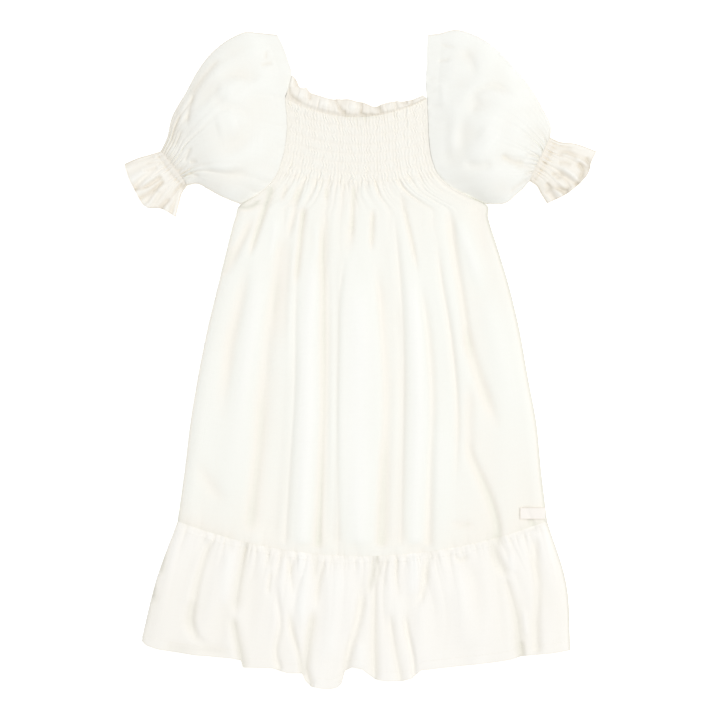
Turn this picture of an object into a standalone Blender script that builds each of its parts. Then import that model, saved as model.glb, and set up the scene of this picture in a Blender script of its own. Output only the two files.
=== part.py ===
"""Child's linen dress laid flat on a table, face up.

The cloth is a set of thin walls: a front panel whose top is shirred into a smocked yoke and whose skirt
falls in gathers, a back panel under it, a gathered hem ruffle, two puff sleeves with shirred, frilled
cuffs, a frilled neck edge and a small tab in the side seam. +X is the picture's right, +Y the neck end
and +Z up from the table. Tables give places in millimetres: "x" from the dress's centre line, and
"drop" down from the highest point of the sleeves.
"""

import math

import bmesh
import bpy
import numpy as np

MM = 0.001
CENTRE_X = 1.5          # middle of the dress's whole width, from its centre line
CENTRE_DROP = 339.7     # middle of its whole length, from the sleeve tops to the lowest lobe of the hem
WALL = 1.2              # cloth, with its nap and seam turnings
GAP = 0.3               # between two pieces that are sewn or lie together
BACK_TOP = WALL         # the back lies flat on the table
FRONT_LOW = BACK_TOP + GAP
FRONT_TOP = FRONT_LOW + WALL
STEEPEST = 2.2          # limit on how much a sloping wall is thickened upright

LINEN = ("linen", (0.93, 0.905, 0.84), 0.9)
TAPE = ("woven_tape", (0.86, 0.82, 0.72), 0.85)

# The body's sides. The rows down to UNDERARM_DROP are the armhole seam, and below it the side seam.
BODY_SIDES = [
    {"drop": 71, "left": -76, "right": 70},
    {"drop": 93, "left": -74, "right": 71},
    {"drop": 114, "left": -75, "right": 72},
    {"drop": 134, "left": -79, "right": 75},
    {"drop": 150, "left": -85, "right": 82},
    {"drop": 163, "left": -95, "right": 96},
    {"drop": 173, "left": -109, "right": 116},
    {"drop": 180, "left": -122, "right": 131},
    {"drop": 192, "left": -127, "right": 133},
    {"drop": 225, "left": -136, "right": 143},
    {"drop": 258, "left": -144, "right": 153},
    {"drop": 307, "left": -156, "right": 165},
    {"drop": 357, "left": -166, "right": 174},
    {"drop": 406, "left": -174, "right": 183},
    {"drop": 456, "left": -180, "right": 188},
    {"drop": 506, "left": -187, "right": 194},
]
UNDERARM_DROP = 180

# How far the middle of a row hangs below its ends.
ROW_SAG = [
    {"drop": 71, "sag": 19},
    {"drop": 147, "sag": 10},
    {"drop": 225, "sag": 7},
    {"drop": 357, "sag": 15},
    {"drop": 506, "sag": 36},
]

# The smocked yoke: shirring rows run across, and the cloth puffs up in puckers between them.
YOKE_DROP = 71
YOKE_END = 147
SHIRRING_ROWS = 8
PUCKER = 2.1
PUFF = 1.0
YOKE_LIFT = 0.8
SKIRT_ROWS = (155, 163, 171, 180, 195, 215, 240, 270, 305, 340, 380, 420, 460, 506)
COLUMNS_PER_FOLD = 5

# Valleys between the skirt's folds: x where the shirring ends, at three drops below it and at the hem seam.
FOLD_DROPS = (160, 258, 357, 456, 535)
SHIRRING_SIDES = (-104, 116)
FREED_OVER = 60.0       # the puckers spread into the folds over this drop
SKIRT_VALLEYS = [
    {"shirring": -92, "upper": -115, "middle": -136, "lower": -148, "seam": -155, "depth": 0.6},
    {"shirring": -70, "upper": -82, "middle": -98, "lower": -105, "seam": -115, "depth": 1.0},
    {"shirring": -52, "upper": -63, "middle": -67, "lower": -72, "seam": -75, "depth": 0.8},
    {"shirring": -32, "upper": -35, "middle": -34, "lower": -39, "seam": -42, "depth": 1.0},
    {"shirring": -9, "upper": -18, "middle": -19, "lower": -19, "seam": -18, "depth": 0.9},
    {"shirring": 13, "upper": 24, "middle": 28, "lower": 29, "seam": 23, "depth": 0.8},
    {"shirring": 31, "upper": 43, "middle": 49, "lower": 48, "seam": 44, "depth": 0.8},
    {"shirring": 47, "upper": 64, "middle": 74, "lower": 74, "seam": 74, "depth": 0.9},
    {"shirring": 65, "upper": 87, "middle": 100, "lower": 101, "seam": 98, "depth": 1.0},
    {"shirring": 84, "upper": 106, "middle": 122, "lower": 126, "seam": 146, "depth": 0.9},
    {"shirring": 103, "upper": 132, "middle": 148, "lower": 158, "seam": 174, "depth": 0.5},
]
# Height of the folds' crests above their valleys, down the skirt.
FOLD_GROWTH = [
    {"drop": 147, "height": 1.0},
    {"drop": 180, "height": 3.4},
    {"drop": 240, "height": 6.5},
    {"drop": 340, "height": 8.5},
    {"drop": 506, "height": 9.0},
]
WIDE_FOLD = 26.0        # a fold this wide has its full height

# Valleys of the hem ruffle: x at the seam, half way down and at the hem, and the share of full depth.
RUFFLE_VALLEYS = [
    {"seam": -153, "middle": -169, "hem": -158, "depth": 0.7},
    {"seam": -112, "middle": -125, "hem": -119, "depth": 1.0},
    {"seam": -92, "middle": -90, "hem": -81, "depth": 0.7},
    {"seam": -74, "middle": -66, "hem": -59, "depth": 0.8},
    {"seam": -42, "middle": -49, "hem": -51, "depth": 1.0},
    {"seam": 14, "middle": 3, "hem": -16, "depth": 0.7},
    {"seam": 24, "middle": 18, "hem": 15, "depth": 1.0},
    {"seam": 44, "middle": 37, "hem": 45, "depth": 0.9},
    {"seam": 74, "middle": 66, "hem": 59, "depth": 0.8},
    {"seam": 143, "middle": 163, "hem": 168, "depth": 1.0},
    {"seam": 180, "middle": 185, "hem": 188, "depth": 0.7},
]
# The lobe between two valleys: the drop of its hem at its left and right ends.
RUFFLE_LOBES = [
    {"left": 634, "right": 643},
    {"left": 644, "right": 647},
    {"left": 658, "right": 658},
    {"left": 661, "right": 662},
    {"left": 668, "right": 670},
    {"left": 680, "right": 678},
    {"left": 657, "right": 659},
    {"left": 669, "right": 671},
    {"left": 670, "right": 668},
    {"left": 659, "right": 647},
    {"left": 645, "right": 643},
    {"left": 643, "right": 640},
]
RUFFLE_ENDS = {"left": (-187, -209, -224), "right": (194, 214, 218)}
RUFFLE_ROWS = (0.0, 0.12, 0.3, 0.52, 0.76, 1.0)
RUFFLE_COLUMNS_PER_LOBE = 6
RUFFLE_HEIGHT = 11.0
WIDE_LOBE = 34.0
RUFFLE_GATHER = 0.9
BACK_HEM_SHORTER = 3.0

# The frill that stands above the yoke's first shirring row.
NECK_FRILL_HEIGHT = 16.0
NECK_FRILL_WAVES = 9
NECK_FRILL_COLUMNS = 6
NECK_FRILL_WAVE = 2.8
NECK_FRILL_TOP = 0.9    # width of its free edge, of its foot's
BACK_FRILL_SHORTER = 2.0

# Outlines of the sleeves, as (x, drop): from the shoulder's neck corner to the cuff, from the underarm to
# the cuff, and along the neck edge from the shoulder down to the yoke.
LEFT_SLEEVE = {
    "side": "left",
    "outer": [(-84, 5), (-104, 3), (-116, 2), (-129, 7), (-153, 25), (-166, 42), (-178, 64), (-193, 91),
              (-198, 112), (-204, 125)],
    "lower": [(-122, 180), (-142, 172), (-153, 166), (-168, 159), (-177, 161)],
    "neck": [(-84, 5), (-78, 17), (-73, 31), (-69, 47), (-72, 60), (-76, 71)],
    "creases": [
        {"from": (-142, 31), "to": (-172, 70), "width": 6, "depth": 6.0},
        {"from": (-172, 70), "to": (-178, 106), "width": 6, "depth": 5.0},
        {"from": (-150, 48), "to": (-104, 52), "width": 9, "depth": 3.5},
        {"from": (-146, 78), "to": (-104, 92), "width": 10, "depth": 3.0},
        {"from": (-150, 128), "to": (-118, 118), "width": 10, "depth": 3.5},
        {"from": (-164, 148), "to": (-116, 150), "width": 7, "depth": 3.5},
    ],
}
RIGHT_SLEEVE = {
    "side": "right",
    "outer": [(71, 5), (81, 4), (100, 0), (118, 5), (143, 21), (156, 35), (168, 48), (188, 79), (198, 104),
              (197, 111)],
    "lower": [(131, 180), (153, 178), (161, 171), (168, 165), (176, 156)],
    "neck": [(71, 5), (70, 18), (70, 31), (69, 48), (69, 62), (70, 71)],
    "creases": [
        {"from": (82, 15), "to": (102, 20), "width": 6, "depth": 3.0},
        {"from": (80, 33), "to": (98, 30), "width": 6, "depth": 3.0},
        {"from": (104, 66), "to": (130, 55), "width": 9, "depth": 4.5},
        {"from": (130, 55), "to": (160, 66), "width": 9, "depth": 4.5},
        {"from": (118, 74), "to": (112, 118), "width": 10, "depth": 3.0},
        {"from": (146, 130), "to": (172, 140), "width": 7, "depth": 4.5},
    ],
}
# The sleeve's height above the table, from the armhole seam (0) to the cuff (1).
PUFF_HEIGHT = [
    {"along": 0.0, "height": 4.4},
    {"along": 0.07, "height": 9.5},
    {"along": 0.18, "height": 18.0},
    {"along": 0.38, "height": 26.0},
    {"along": 0.62, "height": 24.0},
    {"along": 0.84, "height": 15.0},
    {"along": 1.0, "height": 8.5},
]
SLEEVE_STATIONS = (0.0, 0.07, 0.16, 0.27, 0.38, 0.49, 0.60, 0.70, 0.79, 0.87, 0.94, 1.0)
SLEEVE_GATHERS = 7
SLEEVE_GATHER = 1.5
SLEEVE_GATHER_START = 0.5
FOLD_RADIUS = 1.9       # where a tube of cloth folds flat at its edge
LOWEST_TUBE = 4.2

# Cuffs: a shirred band at "base", then a frill out to "end", between the "top" and "foot" edges.
LEFT_CUFF = {
    "top": [(-204, 125), (-214, 128), (-228, 132), (-242, 138)],
    "foot": [(-177, 161), (-182, 168), (-185, 178), (-189, 193)],
    "end": [(-242, 138), (-237, 153), (-230, 167), (-219, 183), (-205, 184), (-189, 193)],
}
RIGHT_CUFF = {
    "top": [(197, 111), (206, 115), (222, 117), (245, 125)],
    "foot": [(176, 156), (183, 161), (187, 168), (194, 179)],
    "end": [(245, 125), (239, 137), (236, 148), (228, 158), (216, 168), (194, 179)],
}
CUFF_STATIONS = (0.0, 0.14, 0.28, 0.5, 0.75, 1.0)
CUFF_HEIGHT = [
    {"along": 0.0, "height": 8.5},
    {"along": 0.2, "height": 7.5},
    {"along": 0.6, "height": 9.0},
    {"along": 1.0, "height": 10.0},
]
CUFF_ACROSS = 24
CUFF_WAVES = 6
CUFF_WAVE = 2.4

# The tab in the side seam just above the hem ruffle.
TAB = {"drop": 498, "height": 12.0, "length": 26.0, "thick": 1.0, "seam_x": 191.5, "rows": 3, "columns": 6}
TAB_REACH = 4.5         # it clears the panel's highest point this far to each side


def clear_scene():
    for old in list(bpy.data.objects):
        bpy.data.objects.remove(old)


def finish_of(kind):
    """The material of a cloth, made once."""
    name, colour, roughness = kind
    made = bpy.data.materials.get(name)
    if made is None:
        made = bpy.data.materials.new(name)
        made.use_nodes = True
        shader = made.node_tree.nodes["Principled BSDF"]
        shader.inputs["Base Color"].default_value = (*colour, 1.0)
        shader.inputs["Roughness"].default_value = roughness
        shader.inputs["Metallic"].default_value = 0.0
    return made


def smooth(share):
    held = np.clip(share, 0.0, 1.0)
    return held * held * (3.0 - 2.0 * held)


def through(keys, values, at):
    """A smooth curve through (keys, values), read at one or more places, with no overshoot at its ends."""
    keys, values = np.asarray(keys, float), np.asarray(values, float)
    slopes = np.gradient(values, keys)
    at = np.clip(np.asarray(at, float), keys[0], keys[-1])
    k = np.clip(np.searchsorted(keys, at, side="right") - 1, 0, len(keys) - 2)
    span = keys[k + 1] - keys[k]
    t = (at - keys[k]) / span
    start = values[k] * (1 + 2 * t) * (1 - t) ** 2 + slopes[k] * span * t * (1 - t) ** 2
    end = values[k + 1] * t**2 * (3 - 2 * t) - slopes[k + 1] * span * t**2 * (1 - t)
    return start + end


def column(table, name):
    return [row[name] for row in table]


def read(table, key, name, at):
    return through(column(table, key), column(table, name), at)


def along_path(points, share):
    """Points of a smooth path at shares of its length."""
    points = np.asarray(points, float)
    steps = np.linalg.norm(np.diff(points, axis=0), axis=1)
    keys = np.concatenate([[0.0], np.cumsum(steps)]) / steps.sum()
    return np.stack([through(keys, points[:, i], share) for i in (0, 1)], axis=-1)


def side_x(side, drop):
    return read(BODY_SIDES, "drop", side, drop)


def sag_at(drop):
    return read(ROW_SAG, "drop", "sag", drop)


def row_drop(side_drop, x):
    """Drop of the point at x on the row whose ends are at side_drop."""
    left, right = side_x("left", side_drop), side_x("right", side_drop)
    across = 2.0 * (x - left) / (right - left) - 1.0
    return side_drop + sag_at(side_drop) * (1.0 - across**2)


def in_frame(x, drop, z):
    """World points in metres from garment places in millimetres."""
    x, drop, z = np.broadcast_arrays(x, drop, z)
    return np.stack([(x - CENTRE_X) * MM, (CENTRE_DROP - drop) * MM, z * MM], axis=-1)


def make_solid(name, points, faces, kind):
    """One closed object, faces out, shaded smooth but for its rims."""
    mesh = bpy.data.meshes.new(name)
    mesh.from_pydata([tuple(p) for p in points], [], faces)
    shape = bmesh.new()
    shape.from_mesh(mesh)
    bmesh.ops.recalc_face_normals(shape, faces=shape.faces)
    shape.to_mesh(mesh)
    shape.free()
    mesh.materials.append(finish_of(kind))
    mesh.shade_smooth()
    mesh.set_sharp_from_angle(angle=math.radians(60))
    made = bpy.data.objects.new(name, mesh)
    bpy.context.scene.collection.objects.link(made)
    return made


def border_of(rows, columns, first=0):
    """Indices round the edge of a grid of points, in order."""
    top = [first + c for c in range(columns)]
    right = [first + r * columns + columns - 1 for r in range(1, rows)]
    bottom = [first + (rows - 1) * columns + c for c in range(columns - 2, -1, -1)]
    left = [first + r * columns for r in range(rows - 2, 0, -1)]
    return top + right + bottom + left


def grid_faces(rows, columns, first=0, start_row=0):
    return [
        (first + r * columns + c, first + r * columns + c + 1,
         first + (r + 1) * columns + c + 1, first + (r + 1) * columns + c)
        for r in range(start_row, rows - 1)
        for c in range(columns - 1)
    ]


def rim_faces(outer_edge, inner_edge):
    count = len(outer_edge)
    return [
        (outer_edge[i], inner_edge[i], inner_edge[(i + 1) % count], outer_edge[(i + 1) % count])
        for i in range(count)
    ]


def cloth_wall(name, outer, inner, kind, plain_rows=0):
    """A wall between two grids of points. Its inside is plain, in one strip a column, over its first
    plain_rows rows, where only the outside is raised."""
    rows, columns = outer.shape[:2]
    points = np.concatenate([outer.reshape(-1, 3), inner.reshape(-1, 3)])
    first = rows * columns
    faces = grid_faces(rows, columns)
    faces += [face[::-1] for face in grid_faces(rows, columns, first, plain_rows)]
    if plain_rows:
        foot = first + plain_rows * columns
        for c in range(columns - 1):
            left = [first + c, *(first + r * columns for r in range(1, plain_rows) if c == 0)]
            right = [first + r * columns + c + 1 for r in range(plain_rows - 1, 0, -1) if c == columns - 2]
            faces.append((*left, foot + c, foot + c + 1, *right, first + c + 1))
    edges = border_of(rows, columns), border_of(rows, columns, first)
    faces += rim_faces(*edges)
    used = sorted({i for face in faces for i in face})
    place = {old: new for new, old in enumerate(used)}
    faces = [tuple(place[i] for i in face) for face in faces]
    return make_solid(name, points[used], faces, kind)


def flat_sheet(name, outline, kind):
    """A sheet that lies flat on the table, from its outline of (x, drop)."""
    outline = np.asarray(outline, float)
    count = len(outline)
    low = in_frame(outline[:, 0], outline[:, 1], 0.0)
    high = in_frame(outline[:, 0], outline[:, 1], BACK_TOP)
    lower, upper = list(range(count)), list(range(count, 2 * count))
    faces = [tuple(reversed(lower)), tuple(upper), *rim_faces(upper, lower)]
    return make_solid(name, np.concatenate([low, high]), faces, kind)


def inner_height(x, top):
    """Underside of a draped wall, a wall's thickness below its top, measured square to the slope."""
    slope = np.gradient(top, axis=1) / np.maximum(np.gradient(x, axis=1), 0.5)
    upright = WALL * np.minimum(np.sqrt(1.0 + slope**2), STEEPEST)
    return np.maximum(top - upright, FRONT_LOW)


def valley_lines(side_drop):
    """x of the body's left side, each valley and the right side on one row."""
    left, right = float(side_x("left", side_drop)), float(side_x("right", side_drop))
    names = ("shirring", "upper", "middle", "lower", "seam")
    folds = [
        float(through(FOLD_DROPS, [row[name] for name in names], side_drop + float(sag_at(side_drop))))
        for row in SKIRT_VALLEYS
    ]
    starts = np.array([SHIRRING_SIDES[0], *column(SKIRT_VALLEYS, "shirring"), SHIRRING_SIDES[1]])
    even = np.linspace(0.0, 1.0, len(starts))
    placed = (starts - starts[0]) / (starts[-1] - starts[0])
    gathered = left + (right - left) * (even + placed) / 2
    freed = smooth((side_drop - YOKE_END + 6) / FREED_OVER)
    return gathered + (np.array([left, *folds, right]) - gathered) * freed


def fold_columns(lines, per_fold):
    """Column places between the lines, and each column's share across its fold."""
    share = np.arange(per_fold) / per_fold
    x = [a + (b - a) * share for a, b in zip(lines, lines[1:])]
    return np.append(np.concatenate(x), lines[-1]), np.append(np.tile(share, len(lines) - 1), 0.0)


def fold_profile(lines, depths, full, wide, per_fold):
    """Height of the cloth over its lowest level at each column: broad crests between narrow valleys."""
    widths = np.diff(lines)
    crest = full * np.minimum(1.0, widths / wide) ** 0.7
    floors = [0.0, *((1.0 - depth) * full * 0.5 for depth in depths), 0.0]
    heights = []
    for i, height in enumerate(crest):
        share = np.arange(per_fold) / per_fold
        base = floors[i] + (floors[i + 1] - floors[i]) * share
        heights.append(base + (height - base) * np.sin(math.pi * share) ** 0.75)
    return np.append(np.concatenate(heights), floors[-1])


def yoke_rows():
    count = 2 * (SHIRRING_ROWS - 1)
    return [YOKE_DROP + (YOKE_END - YOKE_DROP) * r / count for r in range(count + 1)]


def body_rows():
    return [*yoke_rows(), *(float(drop) for drop in SKIRT_ROWS)]


def seam_drops():
    return [drop for drop in body_rows() if drop <= UNDERARM_DROP]


def front_grid():
    """x, drop and outside height of the front panel, and its plain height under the puckers."""
    depths = column(SKIRT_VALLEYS, "depth")
    yoke = len(yoke_rows())
    xs, drops, tops, plains = [], [], [], []
    for r, side_drop in enumerate(body_rows()):
        lines = valley_lines(side_drop)
        x, _ = fold_columns(lines, COLUMNS_PER_FOLD)
        full = float(read(FOLD_GROWTH, "drop", "height", side_drop))
        top = FRONT_TOP + fold_profile(lines, depths, full, WIDE_FOLD, COLUMNS_PER_FOLD)
        ends = smooth(np.minimum(np.arange(len(x)), np.arange(len(x))[::-1]) / 4.0)
        if r < yoke:
            top = FRONT_TOP + YOKE_LIFT * ends
        raised = top.copy()
        puckered = smooth((180.0 - side_drop) / 40.0)
        raised[1::2] += PUCKER * puckered
        if r < yoke and r % 2:
            raised[1:-1] += PUFF
        raised[[0, -1]] = top[[0, -1]]
        xs.append(x)
        drops.append(row_drop(side_drop, x))
        tops.append(raised)
        plains.append(top)
    return np.array(xs), np.array(drops), np.array(tops), np.array(plains)


def front_panel(x, drop, top, plain):
    low = inner_height(x, plain)
    cloth_wall("front_panel", in_frame(x, drop, top), in_frame(x, drop, low), LINEN, len(yoke_rows()) - 1)


def outline_of(x, drop):
    edge = border_of(*x.shape)
    return list(zip(x.ravel()[edge], drop.ravel()[edge]))


def hem_seam(x):
    return row_drop(BODY_SIDES[-1]["drop"], x)


def lobe_hem(lines, per_lobe):
    """Drop of the hem at each column. A step between two lobes lies half on each."""
    drops = []
    for lobe in RUFFLE_LOBES:
        share = np.arange(per_lobe) / per_lobe
        drops.append(lobe["left"] + (lobe["right"] - lobe["left"]) * share)
    drops = np.append(np.concatenate(drops), RUFFLE_LOBES[-1]["right"])
    for i in range(1, len(RUFFLE_LOBES)):
        drops[i * per_lobe] = (RUFFLE_LOBES[i - 1]["right"] + RUFFLE_LOBES[i]["left"]) / 2
    return drops


def ruffle_grid(seam_x, seam_top):
    """x, drop and height of the hem ruffle, whose top edge keeps the front panel's height at the seam."""
    depths = column(RUFFLE_VALLEYS, "depth")
    xs, drops, tops = [], [], []
    for share in RUFFLE_ROWS:
        ends = [float(through((0, 0.5, 1), RUFFLE_ENDS[side], share)) for side in ("left", "right")]
        valleys = [
            float(through((0, 0.5, 1), (row["seam"], row["middle"], row["hem"]), share))
            for row in RUFFLE_VALLEYS
        ]
        lines = np.array([ends[0], *valleys, ends[1]])
        x, _ = fold_columns(lines, RUFFLE_COLUMNS_PER_LOBE)
        start = hem_seam(x) + GAP
        hem = lobe_hem(lines, RUFFLE_COLUMNS_PER_LOBE)
        full = RUFFLE_HEIGHT * (0.75 + 0.25 * share)
        own = FRONT_TOP + fold_profile(lines, depths, full, WIDE_LOBE, RUFFLE_COLUMNS_PER_LOBE)
        joined = np.interp(x, seam_x, seam_top)
        top = joined + (own - joined) * smooth(share / 0.4)
        top[1:-1:2] += RUFFLE_GATHER * (1.0 - smooth(share / 0.5))
        xs.append(x)
        drops.append(start + (hem - start) * share)
        tops.append(top)
    return np.array(xs), np.array(drops), np.array(tops)


def hem_ruffle_front(x, drop, top):
    cloth_wall("hem_ruffle_front", in_frame(x, drop, top), in_frame(x, drop, inner_height(x, top)), LINEN)


def back_panel(x, drop):
    flat_sheet("back_panel", outline_of(x, drop), LINEN)


def hem_ruffle_back(x, drop):
    shorter = drop.copy()
    shorter[-1] -= BACK_HEM_SHORTER
    flat_sheet("hem_ruffle_back", outline_of(x, shorter), LINEN)


def neck_frill_grid(neck_x, neck_drop, neck_top, shorter=0.0, rows=4):
    """Frill above the yoke: its foot follows the yoke's top edge, and its waves grow to the free edge."""
    count = NECK_FRILL_WAVES * NECK_FRILL_COLUMNS
    across = np.linspace(0.0, 1.0, count + 1)
    foot_x = neck_x[0] + (neck_x[-1] - neck_x[0]) * across
    middle = (neck_x[0] + neck_x[-1]) / 2
    xs, drops, tops = [], [], []
    for share in np.linspace(0.0, 1.0, rows):
        x = middle + (foot_x - middle) * (1.0 + (NECK_FRILL_TOP - 1.0) * share)
        foot = np.interp(foot_x, neck_x, neck_drop) - GAP
        shifted = across + 0.012 * np.sin(2 * math.pi * 2 * across)
        wave = np.sin(2 * math.pi * NECK_FRILL_WAVES * shifted)
        uneven = 1.0 + 0.25 * np.sin(5.0 * across + 1.0) + 0.2 * np.sin(23.0 * across)
        height = (NECK_FRILL_HEIGHT - shorter) * (1.0 + 0.06 * wave)
        joined = np.interp(foot_x, neck_x, neck_top)
        lift = NECK_FRILL_WAVE * (1.0 + wave * uneven) * (0.25 + 0.75 * share)
        xs.append(x)
        drops.append(foot - height * share)
        tops.append(joined + (FRONT_TOP - joined) * smooth(share * 2) + lift)
    return np.array(xs), np.array(drops), np.array(tops)


def neck_frills(x, drop, plain):
    edge = x[0], drop[0], plain[0]
    fx, fd, ft = neck_frill_grid(*edge)
    cloth_wall("neck_frill_front", in_frame(fx, fd, ft), in_frame(fx, fd, inner_height(fx, ft)), LINEN)
    bx, bd, _ = neck_frill_grid(*edge, shorter=BACK_FRILL_SHORTER)
    flat_sheet("neck_frill_back", outline_of(bx, bd), LINEN)


def patch(top, foot, start, end, along, across):
    """Place on the sheet bounded by four paths: "along" runs from start to end, "across" from top to foot."""
    along = np.asarray(along, float)
    across = np.asarray(across, float)
    u, t = along[..., None], across[..., None]
    ruled = (1 - t) * along_path(top, along) + t * along_path(foot, along)
    crossed = (1 - u) * along_path(start, across) + u * along_path(end, across)
    corner = [np.asarray(p, float) for p in (top[0], foot[0], top[-1], foot[-1])]
    bilinear = (1 - u) * ((1 - t) * corner[0] + t * corner[1]) + u * ((1 - t) * corner[2] + t * corner[3])
    return ruled + crossed - bilinear


def flat_ring(width, height_at, across, below):
    """Outside of a tube's section as (distance across, z): it lies on the table and folds round at its
    edges. Its upper side has the shares "across", and its underside those of "below"."""
    lift = 1.0 - np.abs(2.0 * across - 1.0) ** 2.6
    upper = FOLD_RADIUS + (np.maximum(height_at, LOWEST_TUBE) - FOLD_RADIUS) * np.sqrt(np.maximum(lift, 0))
    lower_share = np.array([1 - FOLD_RADIUS / width, *below[::-1], FOLD_RADIUS / width])
    distance = np.concatenate([across, lower_share]) * width
    return np.stack([distance, np.concatenate([upper, np.zeros(len(lower_share))])], axis=-1)


def inset_ring(ring, by):
    """The ring moved inwards, each point along the mean of its two sides' normals."""
    before, after = np.roll(ring, 1, axis=0), np.roll(ring, -1, axis=0)
    first = ring - before
    second = after - ring
    first /= np.linalg.norm(first, axis=1)[:, None]
    second /= np.linalg.norm(second, axis=1)[:, None]
    normal = np.stack([first[:, 1] + second[:, 1], -(first[:, 0] + second[:, 0])], axis=-1)
    normal /= np.linalg.norm(normal, axis=1)[:, None]
    stretch = np.clip(first[:, 0] * second[:, 0] + first[:, 1] * second[:, 1], -0.2, 1.0)
    return ring + normal * (by / np.sqrt((1.0 + stretch) / 2.0))[:, None]


def trough(x, drop, creases):
    """How far soft creases lower the cloth at a place. Each fades out towards its two ends."""
    total = np.zeros_like(x)
    for row in creases:
        start, end = np.array(row["from"], float), np.array(row["to"], float)
        line = end - start
        share = ((x - start[0]) * line[0] + (drop - start[1]) * line[1]) / (line @ line)
        held = np.clip(share, 0.0, 1.0)
        away = np.hypot(x - start[0] - held * line[0], drop - start[1] - held * line[1])
        total += row["depth"] * np.exp(-((away / row["width"]) ** 2))
    return total


def cloth_tube(name, edges, stations, across, below, height, raised, shift):
    """A flattened tube, open at both ends. edges are its four bounding paths, height(along, x, drop) its
    smooth height, raised(along, across) what its upper outside gains over its plain inside, and
    shift(along) what keeps it clear of the pieces beside it."""
    rings_out, rings_in = [], []
    for along in stations:
        def place(share):
            return patch(*edges, np.full(np.shape(share), along), np.clip(share, 0.0, 1.0)) + shift(along)

        line = place(across)
        width = float(np.linalg.norm(np.diff(line, axis=0), axis=1).sum())
        ring = flat_ring(width, height(along, line[:, 0], line[:, 1]), across, below)
        inside = inset_ring(ring, WALL)
        outside = ring.copy()
        held = np.sin(math.pi * across) ** 0.5
        outside[: len(across), 1] += held * raised(along, across)
        for section, rings in ((outside, rings_out), (inside, rings_in)):
            at = place(section[:, 0] / width)
            rings.append(in_frame(at[:, 0], at[:, 1], section[:, 1]))
    around = len(rings_out[0])
    points = np.concatenate([*rings_out, *rings_in])
    first = around * len(stations)
    faces = []
    for r in range(len(stations) - 1):
        for c in range(around):
            turn = (c + 1) % around
            quad = (r * around + c, r * around + turn, (r + 1) * around + turn, (r + 1) * around + c)
            faces.append(quad)
            faces.append(tuple(first + i for i in reversed(quad)))
    last = (len(stations) - 1) * around
    for start in (0, last):
        outer_edge = list(range(start, start + around))
        faces += rim_faces(outer_edge, [first + i for i in outer_edge])
    return make_solid(name, points, faces, LINEN)


def armhole_path(sleeve):
    """The sleeve's neck edge, then the armhole seam on the same points as the body's rows."""
    seam = [(float(side_x(sleeve["side"], drop)), drop) for drop in seam_drops()]
    return [*sleeve["neck"][:-1], *seam]


def path_shares(points):
    steps = np.linalg.norm(np.diff(np.asarray(points, float), axis=0), axis=1)
    return np.concatenate([[0.0], np.cumsum(steps)]) / steps.sum()


def sleeve(name, table):
    outwards = -1.0 if table["side"] == "left" else 1.0
    start = armhole_path(table)
    end = [table["outer"][-1], table["lower"][-1]]
    edges = (table["outer"], table["lower"], start, end)

    def clear_of_seam(along):
        return np.array([outwards * GAP, -GAP])

    def height(along, x, drop):
        return read(PUFF_HEIGHT, "along", "height", along) - trough(x, drop, table["creases"])

    def raised(along, across):
        grown = smooth((along - SLEEVE_GATHER_START) / (1.0 - SLEEVE_GATHER_START))
        return SLEEVE_GATHER * grown * (1.0 + np.sin(2 * math.pi * SLEEVE_GATHERS * across))

    shares = path_shares(start)
    cloth_tube(name, edges, SLEEVE_STATIONS, shares, shares[1:-1], height, raised, clear_of_seam)


def cuff(name, table, sleeve_table):
    start = [sleeve_table["outer"][-1], sleeve_table["lower"][-1]]
    edges = (table["top"], table["foot"], start, table["end"])
    seam = np.array(start[1], float) - np.array(start[0], float)
    side = -1.0 if table is LEFT_CUFF else 1.0
    outwards = np.array([side * abs(seam[1]), abs(seam[0])]) / np.linalg.norm(seam)
    own_gap = outwards * 2 * GAP + np.array([0.0, -GAP])

    def clear_of_seam(along):
        return own_gap * (1.0 - along)

    def height(along, x, drop):
        return read(CUFF_HEIGHT, "along", "height", along)

    def raised(along, across):
        wave = np.sin(2 * math.pi * CUFF_WAVES * across + 0.6)
        return CUFF_WAVE * (0.35 + 0.65 * along) * (1.0 + wave)

    across = np.linspace(0.0, 1.0, CUFF_ACROSS + 1)
    cloth_tube(name, edges, CUFF_STATIONS, across, across[4:-4:4], height, raised, clear_of_seam)


def height_at(grid, x, drop):
    """Height of a grid of cloth at one place: along each of its columns, then across them."""
    grid_x, grid_drop, grid_top = grid
    columns = range(grid_x.shape[1])
    xs = [np.interp(drop, grid_drop[:, c], grid_x[:, c]) for c in columns]
    tops = [np.interp(drop, grid_drop[:, c], grid_top[:, c]) for c in columns]
    return float(np.interp(x, xs, tops))


def side_tab(panel):
    """The tab lies on the front panel: its underside is the panel's outside, moved out."""
    tab_x = np.linspace(TAB["seam_x"] - TAB["length"], TAB["seam_x"], TAB["columns"] + 1)
    tab_drop = np.linspace(TAB["drop"] - TAB["height"] / 2, TAB["drop"] + TAB["height"] / 2, TAB["rows"] + 1)
    reaches = (-TAB_REACH, 0.0, TAB_REACH)
    under = np.array([
        [2 * GAP + max(height_at(panel, px + dx, pd) for dx in reaches) for px in tab_x]
        for pd in tab_drop
    ])
    grid_x, grid_drop = np.meshgrid(tab_x, tab_drop)
    outer = in_frame(grid_x, grid_drop, under + TAB["thick"])
    cloth_wall("side_tab", outer, in_frame(grid_x, grid_drop, under), TAPE)


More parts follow.
